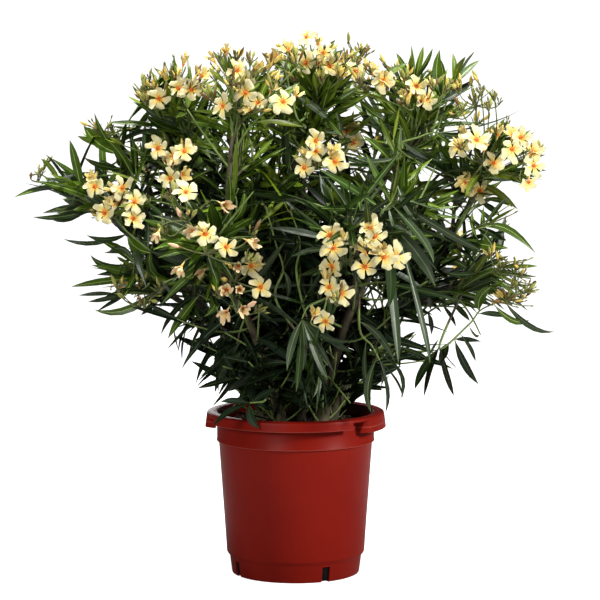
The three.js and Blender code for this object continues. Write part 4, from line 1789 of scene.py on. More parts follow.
@dataclass
class Envelope:
    """A packed mass of foliage, used as the outline that its shoots fill."""

    name: str
    tree: BVHTree
    centre: Array
    outside: float = 0.5
    usual_reach: float = 0.06
    core: float = 0.04
    farthest: float = 0.22

    @classmethod
    def of(cls, bough: Bough, nodes: dict[str, bpy.types.Object]) -> "Envelope":
        """Reads the mass that a bough carries.

        Args:
            bough: The bough.
            nodes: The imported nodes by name.

        Returns:
            The mass.
        """
        mesh = nodes[f"foliage_{bough.name}"].data
        corners = [v.co.copy() for v in mesh.vertices]
        faces = [tuple(p.vertices) for p in mesh.polygons]
        return cls(bough.name, BVHTree.FromPolygons(corners, faces), np.array(bough.centre))

    def reach(self, direction: Array) -> float:
        """How far the mass reaches from its centre in a direction.

        Args:
            direction: A unit vector.

        Returns:
            The distance in metres.
        """
        start = Vector(self.centre + direction * self.outside)
        hit = self.tree.ray_cast(start, Vector(-direction))[3]
        return self.outside - hit if hit is not None else self.usual_reach

    def holds(self, point: Array, margin: float) -> bool:
        """Whether a point is inside the mass or within a margin of it.

        Args:
            point: The point.
            margin: How far outside still counts, in metres.

        Returns:
            Whether it is.
        """
        away = point - self.centre
        distance = length_of(away)
        if distance < self.core:
            return True
        return distance < self.farthest and distance < self.reach(away / distance) + margin

    def front_depth(self, x: float, z: float) -> float:
        """The mass's nearest Y to someone in front of it, at a place across and up.

        Args:
            x: Its place across.
            z: Its place up.

        Returns:
            The nearest Y.
        """
        hit = self.tree.ray_cast(Vector((x, -1.0, z)), Vector((0.0, 1.0, 0.0)))[0]
        if hit is not None:
            return hit.y
        near = self.tree.find_nearest(Vector((x, self.centre[1] - 0.1, z)))[0]
        return near.y


@dataclass(frozen=True)
class Sight:
    """Where the plant is seen from: the camera's place, tilt and lens."""

    place: tuple[float, float, float] = (0.0083, -5.0, 1.02)
    tilt_down: float = 5.8
    lens: float = 161.9

    def flatten(self, point: Array) -> tuple[float, float]:
        """Where a point lines up on the middle plane, across and up.

        Args:
            point: The point.

        Returns:
            The place across and up.
        """
        share = -self.place[1] / (point[1] - self.place[1])
        return (
            self.place[0] + (point[0] - self.place[0]) * share,
            self.place[2] + (point[2] - self.place[2]) * share,
        )

    def slide(self, x: float, z: float, depth: float) -> Array:
        """Slides a place on the middle plane along the line of sight to another depth.

        Args:
            x: Its place across.
            z: Its place up.
            depth: The other Y.

        Returns:
            The point.
        """
        share = (depth - self.place[1]) / -self.place[1]
        return np.array(
            [self.place[0] + (x - self.place[0]) * share, depth, self.place[2] + (z - self.place[2]) * share]
        )


@dataclass(frozen=True)
class Outline:
    """The crown's outline from the front, on the plant's middle plane.

    The corners go round the crown anticlockwise from the right, each with its place across and up
    in millimetres; the gaps are openings that stay clear of leaves, each with its place and radius.
    The stem view is a straight stretch, open only down to a depth, so that the front right stem shows.
    """

    sight: Sight = Sight()
    centre: tuple[float, float] = (0.0, 0.6315)
    corners: tuple[tuple[int, int], ...] = (
        (390, 640), (430, 700), (465, 760), (455, 815), (400, 840), (385, 885), (335, 915), (300, 965),
        (225, 985), (172, 950), (130, 985), (62, 985), (10, 1008), (-60, 975), (-125, 985), (-165, 952),
        (-215, 962), (-290, 925), (-300, 880), (-262, 835), (-315, 835), (-385, 855), (-425, 800),
        (-485, 765), (-490, 700), (-470, 655), (-385, 635), (-385, 590), (-400, 535), (-350, 490),
        (-280, 480), (-235, 425), (-190, 375), (-150, 335), (-120, 300), (130, 290), (180, 310),
        (245, 325), (345, 360), (345, 430), (395, 465), (450, 530), (450, 580), (385, 600),
    )
    gaps: tuple[tuple[int, int, int], ...] = (
        (180, 962, 10), (245, 955, 8), (280, 955, 8), (365, 868, 8), (225, 822, 7), (245, 742, 7),
        (395, 715, 10), (340, 665, 8), (-300, 795, 8), (-345, 785, 9), (-375, 780, 8), (-410, 770, 9),
        (-450, 702, 12), (-390, 655, 13), (-325, 622, 10), (-347, 585, 9), (-260, 475, 12), (-218, 514, 8),
        (-190, 448, 8), (-150, 440, 6), (-170, 402, 11), (-118, 335, 10), (110, 665, 6), (132, 540, 10),
        (150, 528, 14), (160, 508, 9), (240, 500, 8), (285, 480, 8), (338, 471, 8), (195, 460, 10),
        (230, 440, 7), (168, 425, 7), (105, 421, 6), (296, 408, 13), (252, 377, 11), (214, 388, 10),
        (192, 364, 12), (208, 340, 12),
    )
    stem_view: tuple[tuple[int, int], tuple[int, int]] = ((66, 375), (120, 537))
    view_radius: float = 10 * MM
    view_depth: float = -60 * MM

    def holds(self, point: Array, margin: float) -> bool:
        """Whether a point lines up inside the outline, or within a margin of it.

        Args:
            point: The point.
            margin: How far outside still counts, in metres.

        Returns:
            Whether it does.
        """
        corners = np.array(self.corners) * MM - self.centre
        turns, reaches = np.arctan2(corners[:, 1], corners[:, 0]), np.hypot(corners[:, 0], corners[:, 1])
        across, up = np.array(self.sight.flatten(point)) - self.centre
        reach = np.interp(math.atan2(up, across), turns, reaches, period=2 * math.pi)
        return math.hypot(across, up) < float(reach) + margin

    def open_at(self, point: Array, margin: float) -> bool:
        """Whether a point lines up with an opening, or nearly.

        Args:
            point: The point.
            margin: How near still counts, in metres.

        Returns:
            Whether it does.
        """
        seen, gaps = np.array(self.sight.flatten(point)), np.array(self.gaps) * MM
        if np.any(np.linalg.norm(gaps[:, :2] - seen, axis=1) < gaps[:, 2] + margin):
            return True
        low, high = (np.array(end) * MM for end in self.stem_view)
        share = np.clip(np.dot(seen - low, high - low) / np.dot(high - low, high - low), 0, 1)
        apart = length_of(low + share * (high - low) - seen)
        return point[1] < self.view_depth and apart < self.view_radius + margin


@dataclass(frozen=True)
class ShootShape:
    """The sizes of leafy shoots, and how near they come to what is round them."""

    branch: tuple[float, float] = (3.6 * MM, 2.6 * MM)
    twig: tuple[float, float] = (2.6 * MM, 1.2 * MM)
    twig_step: float = 0.014
    sides: int = 6
    length: float = 0.1
    green_length: float = 0.12
    first_whorl: float = 3 * MM
    whorl_gaps: tuple[float, float] = (0.025, 0.055)
    old_at: float = 0.22
    leaves: int = 3
    tries: int = 14
    tip_inset: float = 0.07
    tip_margin: float = 0.025
    least_room: float = 0.015
    inward: float = 0.25
    inward_share: float = 0.22
    side_gap: float = 0.042
    side_lengths: tuple[float, float] = (0.06, 0.14)
    sprouts: int = 28
    sprout_lengths: tuple[float, float] = (0.05, 0.15)
    sprig_brown: float = 0.12
    least_width: float = 0.8 * 0.0158
    rolled: float = 1.12
    room: float = 0.022
    margins: tuple[float, float] = (0.006, 0.028)
    middle_margin: float = 0.012
    gap_margin: float = 4 * MM
    core_centre: tuple[float, float, float] = (0.0, 0.0, 0.68)
    core_halves: tuple[float, float, float] = (0.34, 0.2, 0.27)
    rim_top: float = 0.309
    rim_inside: float = 0.137
    rim_outside: float = 0.172
    soil_top: float = 0.29


@dataclass(frozen=True)
class HeadShape:
    """The sizes of heads of flowers and buds; where there are two shares, the second is the top's."""

    bearer: tuple[float, float] = (3.6 * MM, 1.2 * 1.2 * MM)
    bud_twig: tuple[float, float] = (2.6 * MM, 0.8 * 1.2 * MM)
    hub_offset: tuple[float, float, float] = (0.0, 0.034, -0.02)
    spread: float = 0.016
    ripe: tuple[float, float] = (0.25, 0.5)
    ripe_alone: tuple[float, float] = (0.14, 0.45)
    unripe_below: float = 0.7
    bud_margin: float = 0.006
    faded_share: float = 0.4
    fading_fatter: float = 1.2
    stalk: tuple[float, float] = (1.6 * MM, 1.0 * MM)
    stalk_sides: int = 4
    back_trusses: int = 3
    back_inset: float = 0.05
    back_buds: int = 12


@dataclass(frozen=True)
class Spray:
    """What the leaves of one shoot have in common."""

    sheaf: LeafSheaf
    growth: Growth
    green: Leafage
    rib: Rib
    chance: Chance


class Crown:
    """All that grows on the boughs: shoots, leaves and blossom."""

    def __init__(self, nodes: dict[str, bpy.types.Object], low: Array, high: Array) -> None:
        """Prepares the crown.

        Args:
            nodes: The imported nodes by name.
            low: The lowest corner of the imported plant.
            high: Its highest corner.
        """
        self.shape, self.heads, self.outline = ShootShape(), HeadShape(), Outline()
        self.envelopes = {name: Envelope.of(bough, nodes) for name, bough in BOUGHS.items()}
        self.room = (low - self.shape.room, high + self.shape.room)
        regions = sorted({bough.region for bough in BOUGHS.values()} | {"inner"})
        self.leaves = {region: LeafSheaf() for region in regions}
        self.tips: list[Array] = []
        self.twigs, self.blossom = MeshDraft("twigs"), MeshDraft("blossom")
        self.buds, self.stalks = MeshDraft("buds"), MeshDraft("flower_stalks")

    def grow(self) -> None:
        """Grows every shoot, sprig and truss, each from its own seed."""
        seeded = np.random.default_rng
        for number, bough in enumerate(BOUGHS.values()):
            self.grow_sprays(bough, seeded(1000 + number))
            self.grow_side_shoots(bough, seeded(7000 + number))
        for number, stem in enumerate(STEMS.values()):
            self.grow_sprouts(stem, seeded(4000 + number))
        for number, sprig in enumerate(SPRIGS):
            self.grow_sprig(sprig, seeded(5000 + number))
        for number, name in enumerate(PANICLES):
            self.grow_panicles(name, seeded(6000 + number))
        for number, truss in enumerate(TRUSSES):
            self.grow_truss(truss, seeded(2000 + number))
        for number, bough in enumerate(BOUGHS.values()):
            if bough.region.startswith("back"):
                self.grow_back_trusses(bough, seeded(3000 + number))

    def outward(self, bough: Bough) -> Array:
        """The main direction of a bough's shoots: away from the plant's axis, and up or down by habit.

        Args:
            bough: The bough.

        Returns:
            A unit vector.
        """
        growth = GROWTHS[bough.habit]
        flat = np.array([bough.centre[0], bough.centre[1], 0.0])
        return unit(growth.outward * unit(flat) + growth.rise * UP)

    def grow_sprays(self, bough: Bough, chance: Chance) -> None:
        """Forks a bough into branches, and each branch into shoots that are spread evenly in its mass.

        Args:
            bough: The bough.
            chance: A source of random numbers.
        """
        shape, growth, limb = self.shape, GROWTHS[bough.habit], bough.axis()
        tips = [self.next_tip(self.envelopes[bough.name], chance) for _ in range(bough.shoots)]
        for group in self.in_threes(tips):
            headings = [self.heading(bough, tip, chance) for tip in group]
            middle = np.mean([tip - way * shape.length for tip, way in zip(group, headings)], axis=0)
            at = chance.uniform(0.15, 0.8)
            start = limb.point(at)
            fork = start + (middle - start) * chance.uniform(0.5, 0.8)
            bend = start + limb.tangent(at) * 0.4 * length_of(fork - start)
            branch = Axis(start, bend, fork, shape.green_length)
            self.grow_shoot(bough.region, growth, branch, chance, 0.4, shape.branch)
            for tip, way in zip(group, headings):
                shoot = Axis(fork, tip - way * shape.length * 0.55, tip)
                self.grow_shoot(bough.region, growth, shoot, chance, 0.84, shape.twig)

    def next_tip(self, envelope: Envelope, chance: Chance) -> Array:
        """Picks a place for a shoot's tip in a mass, well away from the tips that the crown already has.

        Args:
            envelope: The mass.
            chance: A source of random numbers.

        Returns:
            The place.
        """
        shape, best, widest = self.shape, envelope.centre, -1.0
        for _ in range(shape.tries):
            direction = unit(chance.normal(0, 1, 3))
            inset = shape.tip_inset * chance.uniform(0.55, 1.1)
            room = max(shape.least_room, envelope.reach(direction) - inset)
            place = envelope.centre + direction * room * chance.uniform(0.05, 1.0) ** 0.4
            place[1] *= shape.inward if chance.random() < shape.inward_share else 1.0
            if not self.outline.holds(place, -shape.tip_margin):
                continue
            gap = float(np.min(np.linalg.norm(np.array(self.tips) - place, axis=1))) if self.tips else 1.0
            if gap > widest:
                best, widest = place, gap
        self.tips.append(best)
        return best

    def seen_at(self, x: float, z: float, depth: float) -> Array:
        """The point at a depth that lines up with a place on the middle plane, in millimetres."""
        return self.outline.sight.slide(x * MM, z * MM, depth)

    def heading(self, bough: Bough, tip: Array, chance: Chance) -> Array:
        """The direction in which a shoot ends: its mass's own way, and away from the mass's middle.

        Args:
            bough: The bough.
            tip: The shoot's tip.
            chance: A source of random numbers.

        Returns:
            A unit vector.
        """
        away = tip - np.array(bough.centre)
        aside = away / max(0.05, length_of(away))
        return unit(self.outward(bough) * 0.8 + aside * 0.8 + chance.normal(0, 0.22, 3))

    def grow_side_shoots(self, bough: Bough, chance: Chance) -> None:
        """Grows leafy shoots all along a bough, which fill the crown between the masses.

        Args:
            bough: The bough.
            chance: A source of random numbers.
        """
        growth = GROWTHS[Habit.INNER if bough.habit is not Habit.CROWN else Habit.CROWN]
        limb = bough.axis()
        count = int(limb.span / self.shape.side_gap)
        for index in range(count):
            at = (index + chance.uniform(0.2, 0.8)) / count
            start, ahead = limb.point(at), limb.tangent(at)
            out = turned_about(any_side(ahead), ahead, index * GOLDEN_TURN + chance.uniform(-0.5, 0.5))
            length = chance.uniform(*self.shape.side_lengths)
            way = out * chance.uniform(0.6, 1.1) + ahead * 0.35 + UP * chance.uniform(-0.1, 0.6)
            shoot = Axis(start, start + (out + ahead) * 0.3 * length, start + way * length)
            self.grow_shoot("inner", growth, shoot, chance, 0.85, self.shape.twig)

    def grow_sprouts(self, stem: Stem, chance: Chance) -> None:
        """Grows leafy sprouts from a stem, short ones at its foot and longer ones higher up.

        Args:
            stem: The stem.
            chance: A source of random numbers.
        """
        limb, growth, count = stem.axis(), GROWTHS[Habit.FOOT], self.shape.sprouts
        for index in range(count):
            share = ((index + 0.5) / count) ** 1.8
            at = 0.045 + 0.9 * share
            start, ahead = limb.point(at), limb.tangent(at)
            out = turned_about(any_side(ahead), ahead, index * GOLDEN_TURN + chance.uniform(-0.4, 0.4))
            length = blend(*self.shape.sprout_lengths, min(1.0, 1.6 * share))
            end = start + out * length * chance.uniform(0.5, 1.1) + UP * length * chance.uniform(0.4, 1.0)
            sprout = Axis(start, start + out * 0.35 * length, end)
            region = "low" if share < 0.5 else "inner"
            self.grow_shoot(region, growth, sprout, chance, 0.85, self.shape.twig)

    def in_threes(self, tips: list[Array]) -> list[list[Array]]:
        """Groups tips with their two nearest neighbours.

        Args:
            tips: The tips.

        Returns:
            The groups.
        """
        left, groups = list(tips), []
        while left:
            first = left.pop()
            left.sort(key=lambda tip: length_of(tip - first))
            groups.append([first, *left[:2]])
            left = left[2:]
        return groups

    def draw_twig(self, axis: Axis, radii: tuple[float, float]) -> None:
        """Adds the woody part of a shoot, brown below and green towards its tip.

        Args:
            axis: The shoot.
            radii: Its radius at its foot and at its tip.
        """
        shares = np.linspace(0, 1, max(5, int(axis.span / self.shape.twig_step)))
        downs = axis.past_tip + axis.span * (1 - shares[1:])
        skins = [(Wood.BROWN if down > self.shape.green_length else Wood.GREEN).value for down in downs]
        tube(self.twigs, axis.points(shares), np.linspace(*radii, len(shares)), self.shape.sides, skins)

    def grow_shoot(
        self, region: str, growth: Growth, axis: Axis, chance: Chance, fullness: float,
        radii: tuple[float, float],
    ) -> None:
        """Draws a shoot and sets whorls of leaves on it, steep at its tip and spreading below.

        Args:
            region: The region of the crown that the leaves belong to.
            growth: The habit's sizes.
            axis: The shoot.
            chance: A source of random numbers.
            fullness: The share of leaves that haven't dropped.
            radii: The shoot's radius at its foot and at its tip.
        """
        self.draw_twig(axis, radii)
        shape, greens, ribs = self.shape, growth.greens, growth.ribs
        green, rib = greens[chance.integers(len(greens))], ribs[chance.integers(len(ribs))]
        spray = Spray(self.leaves[region], growth, green, rib, chance)
        phase, down, whorl = chance.uniform(0, 2 * math.pi), shape.first_whorl, 0
        while down < axis.span:
            age = min(1.0, (down + axis.past_tip) / shape.old_at)
            share = 1.0 - down / axis.span
            foot, ahead = axis.point(share), axis.tangent(share)
            for leaf in range(shape.leaves):
                turn = phase + whorl * math.pi / 3 + leaf * 2 * math.pi / 3 + chance.normal(0, 0.45)
                out = turned_about(any_side(ahead), ahead, turn)
                if chance.random() < fullness:
                    self.set_leaf(spray, foot, ahead, out, age)
            whorl += 1
            down += blend(*shape.whorl_gaps, age) * chance.uniform(0.85, 1.15)

    def set_leaf(self, spray: Spray, foot: Array, ahead: Array, out: Array, age: float) -> None:
        """Adds one leaf of a whorl.

        Args:
            spray: What the shoot's leaves have in common.
            foot: Where it leaves the shoot.
            ahead: The shoot's direction there.
            out: The side of the shoot that it is on.
            age: 0 at the tip, 1 at the oldest whorl.
        """
        growth, chance = spray.growth, spray.chance
        opening = math.radians(blend(16.0, 76.0, age**0.55) + chance.normal(0, 18.0))
        spread = ahead * math.cos(opening) + out * math.sin(opening)
        upper = ahead * math.sin(opening) - out * math.cos(opening)
        along = unit(spread - UP * growth.hang * chance.uniform(0.3, 1.2))
        grown = min(1.0, 0.5 + age * 3.6)
        length = growth.length * grown * chance.uniform(0.66, 1.16)
        fall = min(growth.droop * blend(0.3, 1.3, age) * chance.uniform(0.4, 1.6) * length, 1.3)
        curl = upper * chance.normal(0.0, 0.1) * length
        sunk = (UP - along * along[2]) * (0.5 * fall * length)
        tip = foot + along * (length * math.sqrt(1 - 0.45 * fall**2 * 0.5)) - sunk + curl
        bend = foot + along * length * 0.5
        face = upper + UP * 0.3 + chance.normal(0, 0.45, 3)
        green, rib = spray.green, spray.rib
        if age < 0.1:
            green, rib = growth.tips[-1], growth.ribs[-1]
        elif age < 0.22:
            green = growth.tips[0]
        elif chance.random() < 0.35:
            green = growth.greens[chance.integers(len(growth.greens))]
        width = growth.width * blend(0.5, 1.0, grown) * chance.uniform(0.84, 1.14)
        fold, twist, wave = chance.uniform(0.08, 0.4), chance.normal(0.0, 0.6), chance.uniform(0, 2 * math.pi)
        margin = self.shape.margins[chance.random() < growth.stray]
        for shrink in (1.0, 0.88):
            leaf = (foot, foot + (bend - foot) * shrink, foot + (tip - foot) * shrink)
            if self.held(leaf[2], margin) and self.clear_of_pot(*leaf) and self.clear_of_gaps(*leaf):
                spray.sheaf.add((*leaf, face), (width, fold, twist, wave), green, rib)
                return

    def held(self, point: Array, margin: float) -> bool:
        """Whether a point is inside the crown, with a margin.

        Args:
            point: The point.
            margin: How far outside still counts, in metres.

        Returns:
            Whether it is.
        """
        if np.any(point < self.room[0]) or np.any(point > self.room[1]):
            return False
        if not self.outline.holds(point, 0.6 * margin):
            return False
        core = (point - np.array(self.shape.core_centre)) / np.array(self.shape.core_halves)
        return float(core @ core) < 1.0 or any(mass.holds(point, margin) for mass in self.envelopes.values())

    def clear_of_gaps(self, foot: Array, bend: Array, tip: Array) -> bool:
        """Whether a leaf stays out of the crown's openings, seen from the front, and inside its outline.

        Args:
            foot: Where it starts.
            bend: The point that its middle bows towards.
            tip: Where it ends.

        Returns:
            Whether it does.
        """
        line = bow(foot, bend, tip, np.array([0.15, 0.3, 0.5, 0.7, 0.85, 1.0]))
        if not self.outline.holds(line[2], self.shape.middle_margin):
            return False
        return not any(self.outline.open_at(point, self.shape.gap_margin) for point in line)

    def clear_of_pot(self, foot: Array, bend: Array, tip: Array) -> bool:
        """Whether a leaf stays out of the pot's wall and the soil.

        Args:
            foot: Where it starts.
            bend: The point that its middle bows towards.
            tip: Where it ends.

        Returns:
            Whether it does.
        """
        shape = self.shape
        for x, y, z in bow(foot, bend, tip, np.array([0.3, 0.5, 0.7, 0.85, 1.0])):
            reach = math.hypot(x, y)
            on_rim = z < shape.rim_top and shape.rim_inside < reach < shape.rim_outside
            if on_rim or (z < shape.soil_top and reach < shape.rim_outside):
                return False
        return True

    def grow_sprig(self, sprig: Sprig, chance: Chance) -> None:
        """Grows a placed sprig, leaf by leaf.

        Args:
            sprig: The sprig.
            chance: A source of random numbers.
        """
        shape, depth = self.shape, sprig.depth * MM
        start = BOUGHS[sprig.bough].axis().point(sprig.at)
        path = smooth_through([start, *[self.seen_at(x, z, depth) for x, z in sprig.path]], 7)
        count = len(path)
        brown = count * shape.sprig_brown
        skins = [(Wood.BROWN if i < brown else Wood.GREEN).value for i in range(count - 1)]
        tube(self.twigs, path, np.linspace(*shape.twig, count), shape.sides, skins)
        sheaf = self.leaves[BOUGHS[sprig.bough].region]
        for fx, fz, bx, bz, tx, tz, width, letter in sprig.leaves:
            seen = self.seen_at(fx, fz, depth)
            foot = path[np.argmin(np.linalg.norm(path - seen, axis=1))]
            foot = foot * 0.7 + seen * 0.3 if length_of(foot - seen) < 0.012 else foot
            turn = chance.normal(0, 0.016)
            bend, tip = self.seen_at(bx, bz, depth + turn), self.seen_at(tx, tz, depth + turn * 2.2)
            along = unit(tip - foot)
            full = max(shape.least_width, width * shape.rolled * MM)
            roll = math.acos(min(1.0, width * MM / full)) * (1 if chance.random() < 0.5 else -1)
            face = turned_about(square_to(FRONT + UP * 0.3, along), along, roll * 0.9)
            build = (full, chance.uniform(0.1, 0.3), chance.normal(0, 0.2), chance.uniform(0, 6))
            sheaf.add((foot, bend, tip, face), build, *LETTERS[letter])
        for x, z in sprig.buds:
            place = self.seen_at(x, z, depth + chance.uniform(-0.01, 0.02))
            root = path[-1] if length_of(path[-1] - place) < 0.06 else path[-6]
            along = unit(unit(place - root) + chance.normal(0, 0.2, 3))
            self.set_bud(root, place - along * 0.006, along, Stage.BUDS, chance, (0.42, 0.62))

    def grow_truss(self, truss: Truss, chance: Chance) -> None:
        """Grows a placed truss on the front of its mass.

        Args:
            truss: The truss.
            chance: A source of random numbers.
        """
        bough, heads, seen = BOUGHS[truss.bough], self.heads, (*truss.flowers, *truss.furled)
        middle = np.mean(np.array(seen) * MM, axis=0)
        depth = self.envelopes[truss.bough].front_depth(*middle) + 0.01 - truss.forward
        flowers = [self.seen_at(*p, depth + chance.uniform(-0.016, 0.022)) for p in truss.flowers]
        furled = [self.seen_at(*p, depth + chance.uniform(-0.01, 0.03)) for p in truss.furled]
        hub = np.clip(np.mean([*flowers, *furled], axis=0) + heads.hub_offset, *self.room)
        self.grow_bearer(bough, hub, chance)
        outward = unit(np.array([hub[0], hub[1] * 0.6 - 0.3, 0.1]))
        top = bough.region == "top"
        for place in flowers:
            facing = unit(place - hub) * 0.55 + FRONT * 0.85 + outward * 0.25 + UP * 0.12
            facing = unit(facing + chance.normal(0, 0.34, 3))
            self.set_flower(hub, place, facing, chance, (0.88, 1.06) if top else (0.92, 1.1), (0.78, 1.0))
        for place in furled:
            along = unit(unit(place - hub) + UP * 0.3 + FRONT * 0.3 + chance.normal(0, 0.3, 3))
            if truss.stage is Stage.FRESH:
                self.set_flower(hub, place, along, chance, (0.8, 1.0), (0.0, 0.5), Bloom.GOLDEN)
            elif truss.stage is Stage.FADING and chance.random() < heads.faded_share:
                along = unit(along * 0.6 - UP * 0.5 + FRONT * 0.4)
                self.set_flower(hub, place, along, chance, (0.85, 1.1), (0.0, 0.35), Bloom.FADED)
            else:
                fatter = heads.fading_fatter if truss.stage is Stage.FADING else 1.0
                sizes = (1.0 * fatter, 1.5 * fatter)
                self.set_bud(hub, place - along * 0.014, along, truss.stage, chance, sizes)
        for _ in range(len(flowers) // 2):
            first, second = chance.integers(0, len(flowers), 2)
            place = (flowers[first] + flowers[second]) / 2 + chance.normal(0, 0.008, 3) - FRONT * 0.012
            along = unit(unit(place - hub) + UP * 0.4 + chance.normal(0, 0.3, 3))
            self.set_flower(hub, place, along, chance, (0.8, 1.05), (0.0, 0.5), Bloom.GOLDEN)
        for _ in range(truss.buds // 5):
            anchor = seen[chance.integers(len(seen))]
            place = self.seen_at(*anchor, depth + chance.uniform(0.0, 0.05))
            place = place + chance.normal(0, heads.spread, 3) * (1.0, 0.5, 0.7) - UP * 0.014
            self.grow_panicle(hub, place, heads.ripe[top], chance)

    def grow_panicle(self, root: Array, hub: Array, ripe: float, chance: Chance) -> None:
        """Grows a small branched head of buds from a root to a hub, a share of them ripe.

        Args:
            root: Where the head starts.
            hub: The head's middle.
            ripe: The share of ripe buds.
            chance: A source of random numbers.
        """
        low, high = self.room
        hub = np.clip(hub, low, high - 0.03)
        aim = unit(unit(hub - root) * 0.6 + UP * 0.8 + chance.normal(0, 0.15, 3))
        self.stalk(root, hub, -aim, chance)
        count = chance.integers(7, 13)
        for index in range(count):
            lean = turned_about(any_side(aim), aim, index * GOLDEN_TURN)
            along = unit(aim + lean * 0.7 * math.sqrt((index + 0.5) / count) + chance.normal(0, 0.1, 3))
            foot = hub + along * chance.uniform(0.003, 0.017)
            size = chance.uniform(0.85, 1.35) if chance.random() < ripe else chance.uniform(0.4, 0.68)
            if self.outline.holds(foot + along * Bud.length * size, self.heads.bud_margin):
                self.set_bud(hub, foot, along, Stage.BUDS, chance, (size, size))

    def grow_panicles(self, name: str, chance: Chance) -> None:
        """Grows the placed heads of buds of a mass, each on a thin green shoot of its own.

        Args:
            name: The mass's name.
            chance: A source of random numbers.
        """
        bough, envelope, heads = BOUGHS[name], self.envelopes[name], self.heads
        limb = bough.axis()
        for x, z in PANICLES[name]:
            depth = envelope.front_depth(x * MM, z * MM) + chance.uniform(-0.01, 0.07)
            hub = self.seen_at(x, z, depth)
            start = limb.point(chance.uniform(0.7, 0.95))
            shoot = Axis(start, start + limb.tangent(0.9) * 0.4 * length_of(hub - start), hub, 0.02)
            self.draw_twig(shoot, heads.bud_twig)
            self.grow_panicle(shoot.point(0.93), hub, heads.ripe_alone[bough.region == "top"], chance)

    def grow_bearer(self, bough: Bough, hub: Array, chance: Chance) -> Array:
        """Grows the shoot that bears a truss, and gives the direction at its tip.

        Args:
            bough: The bough.
            hub: The hub.
            chance: A source of random numbers.

        Returns:
            The direction at the shoot's tip.
        """
        limb, at = bough.axis(), chance.uniform(0.6, 0.85)
        start = limb.point(at)
        span = length_of(hub - start)
        shoot = Axis(start, start + limb.tangent(at) * 0.4 * span + UP * 0.1 * span, hub, 0.03)
        self.grow_shoot(bough.region, GROWTHS[bough.habit], shoot, chance, 0.6, self.heads.bearer)
        return shoot.tangent(1.0)

    def set_flower(
        self, hub: Array, place: Array, facing: Array, chance: Chance, sizes: tuple[float, float],
        opened: tuple[float, float], bloom: Bloom = Bloom.OPEN,
    ) -> None:
        """Sets a flower on a stalk from the truss's hub.

        Args:
            hub: The hub.
            place: The middle of its throat.
            facing: Where it looks.
            chance: A source of random numbers.
            sizes: Its least and greatest size.
            opened: How open it is at least and at most.
            bloom: The colours of its petals.
        """
        flower = Flower(chance.uniform(*sizes), chance.uniform(*opened), bloom)
        self.stalk(hub, flower.add(self.blossom, place, facing, chance), -facing, chance)

    def set_bud(
        self, hub: Array, foot: Array, along: Array, stage: Stage, chance: Chance, sizes: tuple[float, float]
    ) -> None:
        """Sets a bud of a size between two on a stalk from the truss's hub.

        Args:
            hub: The hub.
            foot: Where it starts.
            along: Where it points.
            stage: How far on the truss is.
            chance: A source of random numbers.
            sizes: Its least and greatest size.
        """
        size = chance.uniform(*sizes) if sizes[0] < sizes[1] else sizes[0]
        low, high = self.room
        foot = np.clip(foot, low, high - 0.012)
        skins = BUD_SKINS[stage]
        skin = skins[chance.integers(len(skins))]
        if size < self.heads.unripe_below:
            skin = Petal.BUD_OLIVE if chance.random() < 0.6 else Petal.BUD_GREEN
        Bud(size, skin, chance.uniform(-0.5, 0.5)).add(self.buds, foot, along)
        self.stalk(hub, foot, -along, chance)

    def stalk(self, hub: Array, foot: Array, back: Array, chance: Chance) -> None:
        """Draws a thin stalk from a hub to the foot of a flower or bud.

        Args:
            hub: The hub.
            foot: The foot of the flower or bud.
            back: The direction back from the flower or bud.
            chance: A source of random numbers.
        """
        bend = foot + unit(back) * 0.35 * length_of(foot - hub) + chance.normal(0, 0.002, 3)
        path = bow(hub, bend, foot, np.linspace(0, 1, 5))
        radii = np.linspace(*self.heads.stalk, len(path))
        tube(self.stalks, path, radii, self.heads.stalk_sides, Petal.STALK.value)

    def grow_back_trusses(self, bough: Bough, chance: Chance) -> None:
        """Grows trusses by the branching rule on a mass that faces away from the front.

        Args:
            bough: The bough.
            chance: A source of random numbers.
        """
        envelope, heads = self.envelopes[bough.name], self.heads
        axis = unit(self.outward(bough) + UP * 0.35)
        for index in range(heads.back_trusses):
            tilt = math.radians(22 + 24 * index) * chance.uniform(0.8, 1.2)
            lean = turned_about(any_side(axis), axis, index * GOLDEN_TURN * 1.7)
            direction = unit(axis * math.cos(tilt) + lean * math.sin(tilt))
            hub = envelope.centre + direction * (envelope.reach(direction) - 0.04)
            if not self.outline.holds(hub, -heads.back_inset):
                continue
            ahead = self.grow_bearer(bough, hub, chance)
            for number in range(chance.integers(4, 8)):
                lean = turned_about(any_side(direction), direction, number * GOLDEN_TURN)
                toward = unit(direction * 0.9 + lean * 0.75 + ahead * 0.2)
                place = hub + toward * chance.uniform(0.034, 0.05)
                facing = unit(toward + UP * 0.15 + chance.normal(0, 0.15, 3))
                self.set_flower(hub, place, facing, chance, (0.84, 1.02), (0.6, 1.0))
            for _ in range(heads.back_buds):
                along = unit(direction + UP * 0.5 + chance.normal(0, 0.5, 3))
                foot = hub + along * chance.uniform(0.018, 0.045)
                self.set_bud(hub, foot, along, Stage.FRESH, chance, (0.45, 1.15))

    def build(self) -> None:
        """Makes the pieces, each kind apart."""
        for region, sheaf in self.leaves.items():
            draft = MeshDraft(f"leaves_{region}")
            sheaf.make(draft)
            draft.build("foliage", [f"foliage_{b.name}" for b in BOUGHS.values() if b.region == region])
            LOG.info("%s: %d leaves", draft.name, len(sheaf.lines))
        self.twigs.build("green_bark")
        for draft in (self.blossom, self.buds, self.stalks):
            draft.build("blossom")


def build_limbs() -> None:
    """Makes the stems and the boughs with their bark."""
    stems = MeshDraft("stem_bark")
    for stem in STEMS.values():
        stem.grow(stems)
    stems.build("bark", [f"stem_{name}" for name in STEMS])
    boughs = MeshDraft("bough_bark")
    for bough in BOUGHS.values():
        bough.grow(boughs)
    boughs.build("green_bark", [f"bough_{name}" for name in BOUGHS])


# ---------------------------------------------------------------- studio


